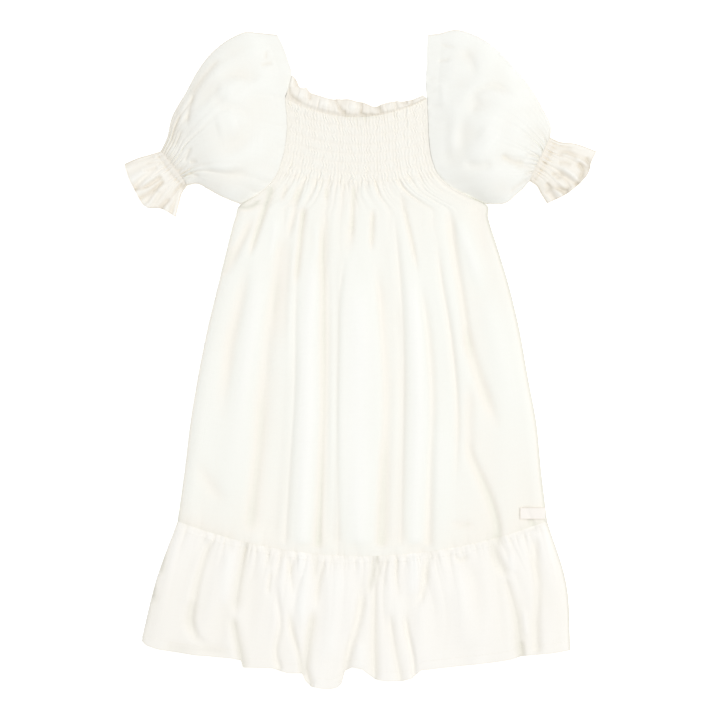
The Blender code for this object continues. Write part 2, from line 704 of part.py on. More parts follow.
def build():
    clear_scene()
    x, drop, top, plain = front_grid()
    front_panel(x, drop, top, plain)
    back_panel(x, drop)
    rx, rd, rt = ruffle_grid(x[-1], plain[-1])
    hem_ruffle_front(rx, rd, rt)
    hem_ruffle_back(rx, rd)
    neck_frills(x, drop, plain)
    sleeve("sleeve_left", LEFT_SLEEVE)
    sleeve("sleeve_right", RIGHT_SLEEVE)
    cuff("cuff_left", LEFT_CUFF, LEFT_SLEEVE)
    cuff("cuff_right", RIGHT_CUFF, RIGHT_SLEEVE)
    side_tab((x, drop, top))


build()
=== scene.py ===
"""Looks of the child's linen dress, laid flat and seen from straight above.

Each piece of cloth is a thin shell on its solid's form, with the gathers, folds and creases that the
photograph shows. Sizes are in millimetres: "x" from the dress's centre line and "drop" down from the top
of the sleeves. Routes of creases are in pixels of the 720-pixel photograph, and spot() turns those into
places.
"""

import math

import bmesh
import bpy
import numpy as np
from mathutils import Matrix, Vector


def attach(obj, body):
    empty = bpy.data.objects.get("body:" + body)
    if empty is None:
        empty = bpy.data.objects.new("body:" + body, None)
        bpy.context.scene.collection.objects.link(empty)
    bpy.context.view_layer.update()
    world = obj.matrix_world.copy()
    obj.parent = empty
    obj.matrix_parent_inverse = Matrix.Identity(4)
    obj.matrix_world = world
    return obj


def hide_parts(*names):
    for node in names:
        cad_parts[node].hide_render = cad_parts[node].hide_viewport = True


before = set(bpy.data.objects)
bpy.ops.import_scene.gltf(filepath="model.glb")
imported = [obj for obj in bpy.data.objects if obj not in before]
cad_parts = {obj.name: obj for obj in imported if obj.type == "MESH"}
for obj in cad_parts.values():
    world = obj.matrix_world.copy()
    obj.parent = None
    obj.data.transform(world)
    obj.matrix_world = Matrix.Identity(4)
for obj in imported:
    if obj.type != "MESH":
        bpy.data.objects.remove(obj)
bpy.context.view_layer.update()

MM = 0.001


def table(columns, *rows):
    """Rows of values, kept as one list of values for each named column."""
    return dict(zip(columns.split(), zip(*rows)))


# The frame, as the solids have it.
CENTRE_X = 1.5
CENTRE_DROP = 339.7
BACK_TOP = 1.2
FRONT_LOW = 1.5
FRONT_TOP = 2.7
SEAM_GAP = 0.3

# The photograph: its pixel on the dress's centre line and its first row, and the size of a pixel.
PHOTO_AXIS, PHOTO_TOP = 359.0, 29.5
PHOTO_SCALE = 1.03
PHOTO_SIDE = 720
CAMERA_HEIGHT = 2.4
SCALE_HEIGHT = 0.006    # height in metres at which a pixel has that size
SENSOR = 36.0

CLOTH = 0.8             # thickness of the shells
TUCK = 1.2              # how far a piece reaches under the next one at a seam
CUFF_TUCK = 3.2         # and a cuff into its sleeve
STEEPEST = 2.2          # most that a slope adds to the upright thickness

# Lengths of finished cloth across the pieces and down the ruffle, on which their gathers are laid out.
YOKE_CLOTH = 146.0
RUFFLE_CLOTH, RUFFLE_LENGTH = 430.0, 130.0
FRILL_CLOTH = 290.0
SLEEVE_CLOTH, CUFF_CLOTH = 190.0, 110.0

# Metres of weave over each piece: across it, and for some down it too.
BODY_WEAVE, BACK_WEAVE = 0.62, 0.5
RUFFLE_WEAVE, BACK_RUFFLE_WEAVE = (0.74, 0.132), (0.62, 0.132)
FRILL_WEAVE = (0.3, 0.018)
SLEEVE_WEAVE, CUFF_WEAVE = (0.40, 0.14), (0.24, 0.05)

# The outline of the body.
BODY_SIDES = table(
    "drop left right",
    (71, -76, 70), (93, -74, 71), (114, -75, 72), (134, -79, 75), (150, -85, 82),
    (163, -95, 96), (173, -109, 116), (180, -122, 131), (192, -127, 133), (225, -136, 143),
    (258, -144, 153), (307, -156, 165), (357, -166, 174), (406, -174, 183), (456, -180, 188),
    (506, -187, 194),
)
ROW_SAG = table(
    "drop sag",
    (71, 19), (147, 10), (225, 7), (357, 15), (506, 36),
)
YOKE_DROP = 71
YOKE_END = 147
HEM_SEAM = 506
SHIRRING_ROWS = 8

# How high the cloth of the skirt puffs up over the back, and how far from its sides it takes to round down.
SKIRT_RISE = table(
    "drop rise",
    (71, 0.8), (140, 0.9), (155, 2.2), (180, 4.2), (240, 6.4), (340, 7.6), (506, 7.8),
)
SIDE_ROUND = 9.0

# Creases. Each lowers the cloth by "depth" along its route: "left" and "right" are how far it reaches to
# either side as seen along the route. A sharp one is a narrow valley between two bulges, and a flat one is
# a recess. "tone" is how much shade is painted along it, and "start" and "end" are the shares of its
# length over which it fades. Those with a negative depth are ridges, with a painted highlight as their
# negative tone.
CREASE_COLUMNS = ("route", "depth", "left", "right", "shape", "tone", "start", "end")
SKIRT_CREASES = [
    ([(237, 203), (243, 207), (252, 206), (261, 200)], 1.6, 3, 3, "sharp", 0.6, 0.15, 0.15),
    ([(273, 184), (247, 263)], 3.8, 2.8, 3.6, "sharp", 0.5, 0.1, 0.3),
    ([(250, 255), (237, 315), (231, 340), (227, 370), (219, 430)], 2.6, 6, 7, "soft", 0.26, 0.25, 0.4),
    ([(256, 212), (232, 262), (226, 280)], 2.8, 4.4, 4.4, "soft", 0.3, 0.3, 0.4),
    ([(233, 243), (223, 280)], 1.6, 2.4, 2.4, "sharp", 0.3, 0.3, 0.3),
    ([(287, 182), (281, 205)], 2.0, 2.2, 2.2, "sharp", 0.25, 0.3, 0.4),
    ([(300, 182), (287, 244)], 3.0, 3.4, 3.4, "soft", 0.28, 0.2, 0.3),
    ([(286, 228), (283, 255), (278, 370)], 2.2, 9, 9, "flat", 0.2, 0.2, 0.4),
    ([(281, 330), (268, 520), (264, 545)], 2.4, 13, 12, "flat", 0.05, 0.3, 0.1),
    ([(279, 255), (273, 290), (258, 460), (249, 538)], 3.0, 6, 6, "soft", 0.16, 0.2, 0.1),
    ([(265, 360), (258, 460), (250, 538)], 1.6, 9, 9, "soft", 0.2, 0.4, 0.1),
    ([(304, 205), (295, 290)], 3.6, 3, 3, "sharp", 0.44, 0.1, 0.25),
    ([(297, 272), (295, 320), (295, 370), (289, 480), (285, 545)], 2.4, 3.2, 4, "sharp", 0.1, 0.12, 0.02),
    ([(326, 186), (326, 201)], 1.6, 1.6, 1.6, "sharp", 0.25, 0.3, 0.3),
    ([(328, 206), (322, 240), (323, 275), (323, 440), (318, 550)], 4.8, 4.4, 5, "sharp", 0.42, 0.12, 0.02),
    ([(333, 245), (330, 545)], 2.4, 6, 6, "flat", 0.05, 0.2, 0.02),
    ([(347, 252), (342, 275), (338, 360), (338, 545)], 2.0, 3, 3, "sharp", 0.14, 0.12, 0.02),
    ([(354, 181), (351, 246)], 3.2, 2.4, 2.4, "sharp", 0.36, 0.15, 0.4),
    ([(353, 214), (347, 264)], 1.4, 5, 6, "soft", 0.17, 0.4, 0.5),
    ([(373, 205), (371, 254)], 3.4, 2.6, 2.6, "sharp", 0.4, 0.3, 0.3),
    ([(376, 258), (382, 320), (386, 400), (384, 460), (381, 548)], 3.4, 5, 4.4, "soft", 0.24, 0.15, 0.02),
    ([(384, 420), (380, 548)], 1.2, 8, 7, "soft", 0.14, 0.4, 0.02),
    ([(389, 270), (395, 350), (391, 545)], 2.4, 8, 8, "flat", 0.06, 0.2, 0.02),
    ([(392, 193), (402, 305), (401, 548)], 3.0, 3.4, 4.6, "sharp", 0.17, 0.2, 0.02),
    ([(400, 181), (403, 203), (411, 239), (419, 280)], 3.0, 2.6, 2.6, "sharp", 0.34, 0.35, 0.3),
    ([(418, 272), (428, 338), (432, 405), (430, 460), (428, 548)], 3.0, 5, 4, "soft", 0.2, 0.15, 0.02),
    ([(437, 238), (439, 262), (451, 338), (457, 400), (455, 500)], 3.0, 3, 3.4, "sharp", 0.22, 0.15, 0.3),
    ([(449, 203), (453, 242), (464, 312), (472, 372)], 3.4, 4.4, 5, "soft", 0.26, 0.15, 0.35),
    ([(463, 318), (467, 338), (499, 434)], 3.8, 6, 6, "soft", 0.28, 0.25, 0.35),
    ([(470, 375), (469, 430), (471, 458)], 2.4, 6, 6, "soft", 0.2, 0.35, 0.3),
    ([(466, 434), (471, 456), (480, 476), (494, 512), (498, 532), (496, 546)],
     3.6, 4.4, 5.4, "soft", 0.26, 0.2, 0.02),
    ([(448, 525), (463, 524), (478, 526)], 1.6, 3, 3, "soft", 0.2, 0.3, 0.4),
    ([(474, 190), (479, 212), (483, 240), (492, 272)], 1.2, 7, 7, "soft", 0.1, 0.3, 0.4),
    ([(524, 505), (537, 534)], 2.2, 3, 3, "soft", 0.2, 0.3, 0.1),
    ([(196, 455), (204, 475), (216, 492), (232, 505)], 1.6, 7, 7, "soft", 0.14, 0.4, 0.4),
    ([(170, 520), (200, 535), (240, 545)], 0.8, 10, 12, "soft", 0.12, 0.2, 0.2),
    ([(311, 235), (311, 290), (308, 340), (308, 400), (303, 545)], -1.8, 8, 8, "soft", -0.26, 0.2, 0.02),
    ([(360, 265), (357, 545)], -1.4, 12, 11, "soft", -0.22, 0.2, 0.02),
    ([(411, 262), (415, 310), (418, 420), (416, 480), (415, 545)], -1.8, 7, 7, "soft", -0.26, 0.2, 0.02),
    ([(316, 222), (317, 240), (316, 262)], -0.8, 3, 3, "soft", -0.15, 0.3, 0.3),
    ([(458, 212), (464, 236), (473, 262), (483, 300)], -1.4, 6, 6, "soft", -0.2, 0.3, 0.4),
    ([(478, 285), (503, 360), (514, 420)], -1.2, 12, 12, "soft", -0.1, 0.3, 0.4),
    ([(264, 262), (257, 300), (236, 450)], -1.2, 8, 8, "soft", -0.14, 0.3, 0.4),
    ([(275, 214), (274, 238), (268, 262)], -0.8, 4, 4, "soft", -0.14, 0.3, 0.3),
]

# The hem ruffle. Shares run from its seam (0) to its hem (1).
RUFFLE_ENDS = {"left": (-187, -209, -224), "right": (194, 214, 218)}
HEM_EDGE = [
    (142, 641), (146, 645), (158, 649), (196, 655), (232, 658), (241, 660), (243, 667), (272, 668),
    (288, 673), (302, 673), (305, 680), (311, 686), (320, 688), (330, 689), (338, 687), (342, 683),
    (345, 671), (352, 667), (362, 669), (375, 679), (386, 681), (402, 681), (412, 678), (421, 670),
    (458, 666), (494, 662), (512, 659), (520, 656), (552, 653), (571, 650),
]
RUFFLE_RISE = 8.6
RUFFLE_CREASES = [
    ([(211, 533), (195, 596), (192, 626), (197, 637), (206, 643), (214, 644)],
     3.8, 4, 5.4, "soft", 0.3, 0.12, 0.25),
    ([(192, 598), (188, 615), (186, 632)], 1.2, 9, 8, "soft", 0.12, 0.3, 0.3),
    ([(252, 520), (239, 585), (234, 620)], 4.6, 4.4, 5, "sharp", 0.38, 0.05, 0.2),
    ([(232, 612), (243, 667)], 4.4, 4.4, 4.4, "sharp", 0.5, 0.25, 0.02),
    ([(268, 545), (269, 558), (268, 570)], 1.8, 2.6, 2.6, "sharp", 0.16, 0.2, 0.3),
    ([(272, 568), (269, 582), (268, 596)], 2.2, 2.4, 2.4, "sharp", 0.2, 0.3, 0.3),
    ([(277, 580), (278, 600), (280, 622), (276, 656), (280, 670)], 2.8, 3.4, 3.4, "soft", 0.16, 0.3, 0.02),
    ([(284, 540), (291, 578), (293, 598)], 2.6, 3, 3, "sharp", 0.2, 0.05, 0.3),
    ([(288, 606), (291, 626), (300, 660), (302, 674)], 3.2, 3, 3, "sharp", 0.32, 0.3, 0.02),
    ([(314, 544), (315, 574), (314, 588)], 3.0, 3.4, 3.4, "sharp", 0.34, 0.2, 0.4),
    ([(325, 556), (317, 594), (316, 612)], 2.8, 2.8, 2.8, "sharp", 0.28, 0.2, 0.4),
    ([(314, 606), (307, 655), (306, 668), (311, 686)], 5.0, 4, 4.4, "sharp", 0.44, 0.2, 0.01),
    ([(366, 578), (356, 628), (350, 648), (343, 684)], 4.2, 4.4, 5, "soft", 0.24, 0.3, 0.01),
    ([(380, 544), (368, 598)], 3.2, 3, 3.4, "sharp", 0.44, 0.05, 0.3),
    ([(386, 552), (380, 566), (374, 625), (375, 680)], 4.4, 4, 4, "sharp", 0.3, 0.1, 0.01),
    ([(396, 548), (396, 576), (398, 592), (397, 606)], 2.4, 3, 4, "sharp", 0.18, 0.2, 0.3),
    ([(389, 608), (394, 645), (401, 682)], 3.8, 4, 4.4, "sharp", 0.3, 0.25, 0.01),
    ([(404, 606), (406, 625), (413, 660), (414, 677)], 3.0, 3, 3, "soft", 0.18, 0.3, 0.01),
    ([(430, 544), (424, 580), (421, 596), (414, 612)], 3.4, 4, 4, "soft", 0.24, 0.05, 0.3),
    ([(452, 552), (460, 560), (470, 554)], 2.0, 2.4, 2.4, "sharp", 0.26, 0.3, 0.3),
    ([(495, 530), (497, 558), (502, 568), (507, 580)], 4.4, 5, 5.4, "soft", 0.34, 0.05, 0.2),
    ([(504, 572), (517, 622), (520, 656)], 4.6, 4, 5, "sharp", 0.34, 0.15, 0.01),
    ([(521, 638), (523, 656)], 2.4, 2.4, 2.4, "sharp", 0.36, 0.4, 0.02),
    ([(535, 533), (535, 566), (537, 585), (536, 628), (537, 652)], 3.2, 4.4, 4.4, "soft", 0.24, 0.12, 0.01),
    ([(166, 545), (161, 578)], 2.6, 3, 3, "sharp", 0.4, 0.3, 0.3),
    ([(152, 580), (156, 606)], 1.8, 3.4, 3.4, "soft", 0.35, 0.3, 0.4),
    ([(160, 645), (185, 649), (210, 650), (234, 653)], 0.8, 6, 5, "soft", 0.2, 0.15, 0.15),
    ([(303, 548), (303, 575), (301, 600), (301, 630)], -1.6, 6, 6, "soft", -0.27, 0.05, 0.3),
    ([(231, 545), (224, 612)], -1.6, 6, 6, "soft", -0.2, 0.2, 0.3),
    ([(415, 548), (411, 600)], -1.6, 6, 6, "soft", -0.27, 0.05, 0.3),
    ([(338, 560), (335, 590), (331, 665)], -1.4, 10, 12, "soft", -0.16, 0.2, 0.2),
    ([(360, 640), (361, 668)], -1.0, 5, 5, "soft", -0.16, 0.3, 0.1),
    ([(508, 552), (514, 574)], -1.2, 3, 3, "soft", -0.2, 0.3, 0.3),
    ([(523, 606), (527, 640)], -1.2, 3, 3, "soft", -0.16, 0.3, 0.3),
    ([(455, 578), (465, 610), (470, 650)], -1.4, 20, 20, "soft", -0.04, 0.2, 0.2),
]

# The sleeves and the cuffs, as the solids have them. "tone" is the shade painted on their open cloth,
# and "pleating" is the share of the full pleats at the cuff.
LEFT_SLEEVE = {
    "side": "left",
    "tone": 0.32,
    "pleating": 1.0,
    "outer": [(-84, 5), (-104, 3), (-116, 2), (-129, 7), (-153, 25), (-166, 42), (-178, 64), (-193, 91),
              (-198, 112), (-204, 125)],
    "lower": [(-122, 180), (-142, 172), (-153, 166), (-168, 159), (-177, 161)],
    "neck": [(-84, 5), (-78, 17), (-73, 31), (-69, 47), (-72, 60), (-76, 71)],
    "creases": [
        ([(222, 58), (206, 75), (193, 93)], 5.4, 3, 5, "sharp", 0.55, 0.25, 0.05),
        ([(193, 91), (193, 99), (190, 110), (187, 129)], 4.8, 2.6, 4, "sharp", 0.5, 0.05, 0.3),
        ([(182, 110), (170, 148)], 3.6, 2, 3, "sharp", 0.5, 0.3, 0.2),
        ([(183, 128), (174, 150)], 2.6, 2, 2, "sharp", 0.4, 0.3, 0.3),
        ([(188, 93), (172, 126), (168, 141)], 1.2, 4, 4, "soft", 0.25, 0.3, 0.2),
        ([(192, 147), (184, 164)], 2.4, 2, 2, "sharp", 0.3, 0.3, 0.3),
        ([(189, 163), (199, 162)], 2.2, 2, 2, "sharp", 0.3, 0.3, 0.4),
        ([(188, 173), (201, 177)], 2.4, 2, 2, "sharp", 0.36, 0.2, 0.4),
        ([(160, 177), (170, 176), (180, 170), (188, 169)], 2.6, 2.6, 2.6, "sharp", 0.24, 0.2, 0.3),
        ([(266, 50), (266, 61)], 1.8, 1.6, 1.6, "sharp", 0.42, 0.3, 0.3),
        ([(260, 68), (264, 65), (274, 63)], 2.4, 2, 2, "sharp", 0.45, 0.3, 0.3),
        ([(214, 79), (238, 76), (250, 79), (257, 77), (262, 69)], 3.0, 7, 5, "soft", 0.22, 0.3, 0.3),
        ([(210, 100), (226, 107), (244, 112), (257, 117)], 2.4, 6, 6, "soft", 0.16, 0.3, 0.3),
        ([(262, 108), (240, 142), (228, 152), (214, 156)], 2.4, 8, 8, "soft", 0.13, 0.4, 0.4),
        ([(198, 168), (225, 175), (245, 173), (255, 175)], 3.2, 4, 6, "soft", 0.24, 0.25, 0.4),
        ([(236, 98), (226, 92), (216, 90)], -1.6, 8, 8, "soft", -0.1, 0.3, 0.3),
        ([(216, 130), (240, 124)], -1.8, 12, 12, "soft", -0.12, 0.3, 0.3),
    ],
}
RIGHT_SLEEVE = {
    "side": "right",
    "tone": 0.25,
    "pleating": 0.7,
    "outer": [(71, 5), (81, 4), (100, 0), (118, 5), (143, 21), (156, 35), (168, 48), (188, 79), (198, 104),
              (197, 111)],
    "lower": [(131, 180), (153, 178), (161, 171), (168, 165), (176, 156)],
    "neck": [(71, 5), (70, 18), (70, 31), (69, 48), (69, 62), (70, 71)],
    "creases": [
        ([(439, 44), (451, 47), (457, 47)], 2.4, 2, 2, "sharp", 0.36, 0.3, 0.4),
        ([(436, 62), (453, 59)], 2.4, 2, 2, "sharp", 0.36, 0.3, 0.4),
        ([(459, 49), (467, 56), (472, 66), (473, 82)], 2.6, 5, 6, "soft", 0.16, 0.3, 0.4),
        ([(461, 101), (470, 99), (477, 92), (494, 87), (512, 95), (520, 95)],
         3.6, 4, 6, "soft", 0.25, 0.25, 0.35),
        ([(482, 100), (474, 108), (470, 118)], 1.6, 5, 5, "soft", 0.12, 0.3, 0.4),
        ([(449, 108), (446, 150), (450, 172)], 1.5, 6, 6, "soft", 0.1, 0.4, 0.4),
        ([(467, 106), (461, 142), (466, 164)], 1.5, 6, 6, "soft", 0.1, 0.4, 0.4),
        ([(461, 164), (484, 167), (494, 163)], 2.6, 5, 5, "soft", 0.2, 0.3, 0.3),
        ([(499, 156), (514, 163), (525, 163)], 4.2, 3, 3.4, "sharp", 0.5, 0.2, 0.2),
        ([(523, 156), (541, 157)], 2.4, 2, 2, "sharp", 0.34, 0.3, 0.3),
        ([(529, 145), (538, 151)], 1.6, 2, 2, "sharp", 0.3, 0.3, 0.3),
        ([(513, 168), (523, 167), (534, 169)], 2.2, 2, 2, "sharp", 0.3, 0.3, 0.3),
        ([(523, 176), (534, 171)], 2.0, 2, 2, "sharp", 0.3, 0.3, 0.3),
        ([(508, 196), (514, 189), (527, 179)], 3.0, 2.4, 3, "sharp", 0.4, 0.3, 0.1),
        ([(478, 130), (496, 146)], -2.0, 11, 11, "soft", -0.12, 0.3, 0.3),
        ([(442, 80), (443, 112)], -1.4, 5, 5, "soft", -0.12, 0.3, 0.3),
    ],
}
PUFF_HEIGHT = table(
    "along height",
    (0.0, 4.3), (0.07, 8.4), (0.18, 16.0), (0.38, 24.0), (0.62, 23.5), (0.84, 15.0), (1.0, 9.0),
)
FOLD_RADIUS = 1.9
LOWEST_TUBE = 4.2
CASING = 9.0            # width of the band along the neck edge
CUFF_PINCH = 0.12       # share of the cuff's length at which its elastic draws it in

LEFT_CUFF = {
    "side": "left",
    "tone": 0.4,
    "top": [(-204, 125), (-214, 128), (-228, 132), (-242, 138)],
    "foot": [(-177, 161), (-182, 168), (-185, 178), (-189, 193)],
    "end": [(-242, 138), (-237, 153), (-230, 167), (-219, 183), (-205, 184), (-189, 193)],
    "creases": [
        ([(163, 176), (144, 188), (135, 190)], 5.4, 2, 2.6, "sharp", 0.62, 0.15, 0.02),
        ([(165, 180), (150, 193), (140, 199)], 5.0, 2, 2.6, "sharp", 0.62, 0.15, 0.02),
        ([(190, 185), (180, 187), (169, 200), (160, 209)], 5.0, 2.4, 2.4, "sharp", 0.55, 0.1, 0.02),
        ([(155, 156), (124, 167)], 3.4, 2.4, 2.4, "soft", 0.3, 0.1, 0.1),
        ([(158, 167), (150, 170), (142, 171)], 2.8, 2, 2, "sharp", 0.35, 0.2, 0.3),
        ([(162, 163), (152, 163), (144, 165)], 2.4, 2, 2, "sharp", 0.28, 0.2, 0.3),
        ([(160, 190), (146, 204)], 2.6, 3, 3, "soft", 0.22, 0.2, 0.1),
        ([(168, 198), (172, 214)], 2.4, 3, 3, "soft", 0.16, 0.2, 0.1),
        ([(150, 178), (130, 183)], -1.2, 4, 4, "soft", -0.12, 0.2, 0.2),
    ],
}
RIGHT_CUFF = {
    "side": "right",
    "tone": 0.52,
    "top": [(197, 111), (206, 115), (222, 117), (245, 125)],
    "foot": [(176, 156), (183, 161), (187, 168), (194, 179)],
    "end": [(245, 125), (239, 137), (236, 148), (228, 158), (216, 168), (194, 179)],
    "creases": [
        ([(545, 182), (551, 187), (568, 191)], 5.2, 2.4, 2.4, "sharp", 0.68, 0.15, 0.02),
        ([(577, 162), (582, 169), (576, 186)], 5.0, 2.4, 2.4, "sharp", 0.62, 0.15, 0.02),
        ([(586, 156), (589, 170)], 3.4, 2.4, 2.4, "sharp", 0.55, 0.2, 0.02),
        ([(550, 175), (557, 174), (565, 176)], 3.4, 2, 2, "sharp", 0.45, 0.2, 0.3),
        ([(553, 178), (562, 178), (571, 189)], 3.6, 2, 2, "sharp", 0.42, 0.2, 0.1),
        ([(556, 156), (564, 152), (577, 160)], 3.2, 3, 3, "soft", 0.34, 0.2, 0.2),
        ([(557, 163), (565, 163), (572, 166)], 2.6, 2, 2, "sharp", 0.34, 0.2, 0.3),
        ([(552, 148), (562, 147), (574, 149)], 2.2, 2.4, 2.4, "soft", 0.2, 0.2, 0.3),
        ([(544, 194), (552, 187)], 2.2, 2, 2, "sharp", 0.3, 0.2, 0.3),
        ([(562, 196), (570, 189)], 2.4, 3, 3, "soft", 0.35, 0.2, 0.1),
        ([(560, 170), (570, 171), (576, 176)], -1.2, 4, 4, "soft", -0.1, 0.2, 0.2),
    ],
}
CUFF_HEIGHT = table(
    "along height",
    (0.0, 9.0), (0.12, 7.4), (0.3, 8.4), (0.6, 11.0), (1.0, 12.4),
)

# The frill above the yoke: its upper edge, and the creases between its puffs.
FRILL_EDGE = [
    (290, 75), (294, 77), (297, 81), (299, 86), (303, 88), (307, 88), (309, 91), (315, 94), (321, 96),
    (327, 98), (333, 99), (341, 99), (349, 99), (356, 101), (362, 102), (368, 104), (372, 106),
    (377, 106), (382, 104), (389, 102), (396, 101), (403, 101), (410, 100), (416, 98), (421, 96),
    (424, 94),
]
FRILL_HEIGHT = 16.0
FRILL_RISE = 1.5
FRILL_CREASES = [
    ([(289, 86), (290, 94), (303, 104)], 3.4, 2, 2.4, "sharp", 0.45, 0.1, 0.2),
    ([(308, 86), (311, 104)], 3.4, 2, 2, "sharp", 0.3, 0.02, 0.4),
    ([(296, 80), (297, 88)], 1.6, 2, 2, "soft", 0.25, 0.02, 0.4),
    ([(334, 97), (341, 110), (345, 114)], 3.4, 2, 2, "sharp", 0.38, 0.02, 0.1),
    ([(342, 111), (348, 117), (357, 120)], 3.6, 2.4, 2, "sharp", 0.55, 0.1, 0.2),
    ([(361, 101), (362, 108), (361, 114), (364, 116)], 3.0, 2, 2, "sharp", 0.42, 0.02, 0.1),
    ([(361, 114), (368, 116), (375, 113)], 3.4, 2, 2, "sharp", 0.62, 0.1, 0.3),
    ([(375, 104), (379, 107), (381, 117)], 4.0, 2, 2, "sharp", 0.6, 0.02, 0.2),
    ([(394, 99), (396, 106), (395, 112)], 2.4, 2, 2, "soft", 0.2, 0.02, 0.4),
    ([(405, 98), (407, 106)], 2.2, 2, 2, "sharp", 0.22, 0.02, 0.4),
    ([(411, 97), (412, 103), (410, 109)], 2.6, 2, 2, "sharp", 0.42, 0.02, 0.4),
    ([(298, 111), (311, 114), (324, 113)], 1.8, 2.4, 2.4, "soft", 0.18, 0.3, 0.3),
    ([(298, 94), (305, 96)], -1.2, 5, 5, "soft", -0.22, 0.2, 0.2),
    ([(318, 103), (332, 106)], -1.2, 4, 4, "soft", -0.22, 0.2, 0.2),
    ([(348, 106), (357, 108)], -1.4, 4, 4, "soft", -0.3, 0.2, 0.2),
    ([(385, 106), (391, 106)], -1.0, 4, 4, "soft", -0.16, 0.2, 0.2),
]

# Creases of the flat back, which show only from below: as uneven as those in front, and much shallower.
BACK_CREASES = [
    ([(283, 186), (257, 300)], 0.5, 2.4, 3, "sharp", 0.3, 0.2, 0.4),
    ([(300, 190), (297, 230), (285, 350), (279, 430), (270, 520)], 0.55, 4, 5, "soft", 0.2, 0.1, 0.3),
    ([(318, 186), (317, 210), (313, 242)], 0.4, 2, 2, "sharp", 0.25, 0.3, 0.4),
    ([(326, 200), (328, 260), (325, 330), (322, 405)], 0.5, 3.4, 3, "sharp", 0.25, 0.15, 0.35),
    ([(342, 188), (336, 266)], 0.45, 2.4, 2.4, "sharp", 0.25, 0.2, 0.4),
    ([(351, 228), (355, 320), (352, 420), (348, 545)], 0.55, 5, 4, "soft", 0.2, 0.2, 0.05),
    ([(371, 184), (377, 270), (380, 345)], 0.5, 2.6, 3, "sharp", 0.3, 0.2, 0.4),
    ([(386, 215), (395, 300), (401, 492)], 0.5, 5, 5, "soft", 0.18, 0.2, 0.35),
    ([(402, 184), (416, 246)], 0.4, 2, 2, "sharp", 0.25, 0.3, 0.4),
    ([(417, 226), (431, 290), (447, 450), (449, 545)], 0.5, 5, 4, "soft", 0.2, 0.15, 0.05),
    ([(446, 204), (458, 240), (468, 290), (481, 356)], 0.45, 3.4, 4, "soft", 0.2, 0.2, 0.4),
    ([(472, 352), (484, 405), (494, 470), (497, 530)], 0.5, 4, 6, "soft", 0.2, 0.3, 0.1),
    ([(263, 222), (250, 268), (240, 330), (235, 402)], 0.5, 4, 3.4, "soft", 0.22, 0.2, 0.4),
    ([(229, 388), (206, 500), (200, 542)], 0.45, 5, 6, "soft", 0.16, 0.3, 0.1),
    ([(186, 466), (196, 498), (214, 524)], 0.35, 5, 6, "soft", 0.12, 0.3, 0.3),
    ([(238, 212), (262, 226), (290, 232)], 0.3, 4, 4, "soft", 0.12, 0.3, 0.4),
    ([(169, 552), (166, 596), (158, 640)], 0.4, 5, 5, "soft", 0.16, 0.2, 0.2),
    ([(214, 545), (209, 580), (213, 622)], 0.45, 3, 3.4, "sharp", 0.25, 0.1, 0.35),
    ([(262, 548), (257, 606), (260, 656)], 0.5, 5, 4, "soft", 0.18, 0.1, 0.1),
    ([(306, 560), (310, 625), (305, 672)], 0.55, 4, 4, "sharp", 0.28, 0.15, 0.02),
    ([(397, 566), (404, 676)], 0.5, 4, 5, "soft", 0.2, 0.2, 0.02),
    ([(447, 548), (452, 602)], 0.4, 3, 3, "sharp", 0.22, 0.1, 0.5),
    ([(491, 545), (509, 648)], 0.5, 4, 5, "soft", 0.2, 0.1, 0.02),
]

# Gathers: the waves of each, with their pitch, their height and how far they run from the seam.
GATHERS = {
    "skirt_top": [(3.6, 0.75, 12.0), (6.8, 1.1, 28.0), (12.5, 1.3, 58.0)],
    "skirt_foot": [(4.2, 0.4, 5.0), (9.0, 0.6, 16.0)],
    "ruffle": [(4.4, 0.7, 7.0), (8.2, 1.2, 17.0), (15.0, 1.4, 36.0)],
    "frill": [(6.5, 0.6, 4.0), (11.0, 0.8, 14.0)],
    "sleeve_end": [(5.6, 0.55, 8.0), (10.5, 1.3, 20.0), (19.0, 1.6, 38.0)],
    "sleeve_top": [(9.0, 0.4, 6.0), (17.0, 0.8, 16.0)],
    "cuff": [(4.4, 0.8, 6.0), (9.5, 1.2, 16.0)],
    "back": [(7.0, 0.2, 30.0), (12.0, 0.3, 60.0)],
    "back_ruffle": [(8.0, 0.25, 14.0), (15.0, 0.4, 50.0)],
    "back_frill": [(7.0, 0.4, 12.0)],
}

# Shade painted on the open cloth of each piece: its place on its material's ramp, from painted highlight at
# 0 to painted shade at 1. The gathered yoke and frill get more painted shade.
OPEN_PAINTED_SHADE = {"yoke": 0.47, "skirt": 0.24, "ruffle": 0.27, "frill": 0.58, "back": 0.26, "tape": 0.12,
              "thread": 0.2}

# Sewing: how far the hem's stitches are from its edge, and the ruffle's row that its seam is sewn on.
HEM_TURNING = 8.0
SEAM_STITCHED_ROW = 7

TAB = {"drop": 498, "height": 12.0, "length": 26.0, "thick": 0.9, "seam_x": 191.5}

# Rows and columns of the grids of points.
BODY_COLUMNS = 320
YOKE_ROWS = 96
SKIRT_ROWS = 120
RUFFLE_COLUMNS = 420
RUFFLE_ROWS = 72
SLEEVE_COLUMNS = 126
CUFF_COLUMNS = 100
UNDERSIDE_COLUMNS = 44
GRIDS = {"frill": (30, 380), "tab": (22, 46), "back_yoke": (64, 320), "back_skirt": (80, 200),
         "back_ruffle": (40, 260), "back_frill": (12, 300)}
ROUTE_POINTS = 14       # points on the route of a crease

# Light, in metres and watts.
OVERHEAD = {"place": (0.85, 0.42, 3.6), "size": 2.7, "power": 77.0}
SKY_STRENGTH = 0.57
PAPER_SIDE = 16.0
PAPER_GLOW = 0.45


def smooth(share):
    held = np.clip(share, 0.0, 1.0)
    return held * held * (3.0 - 2.0 * held)


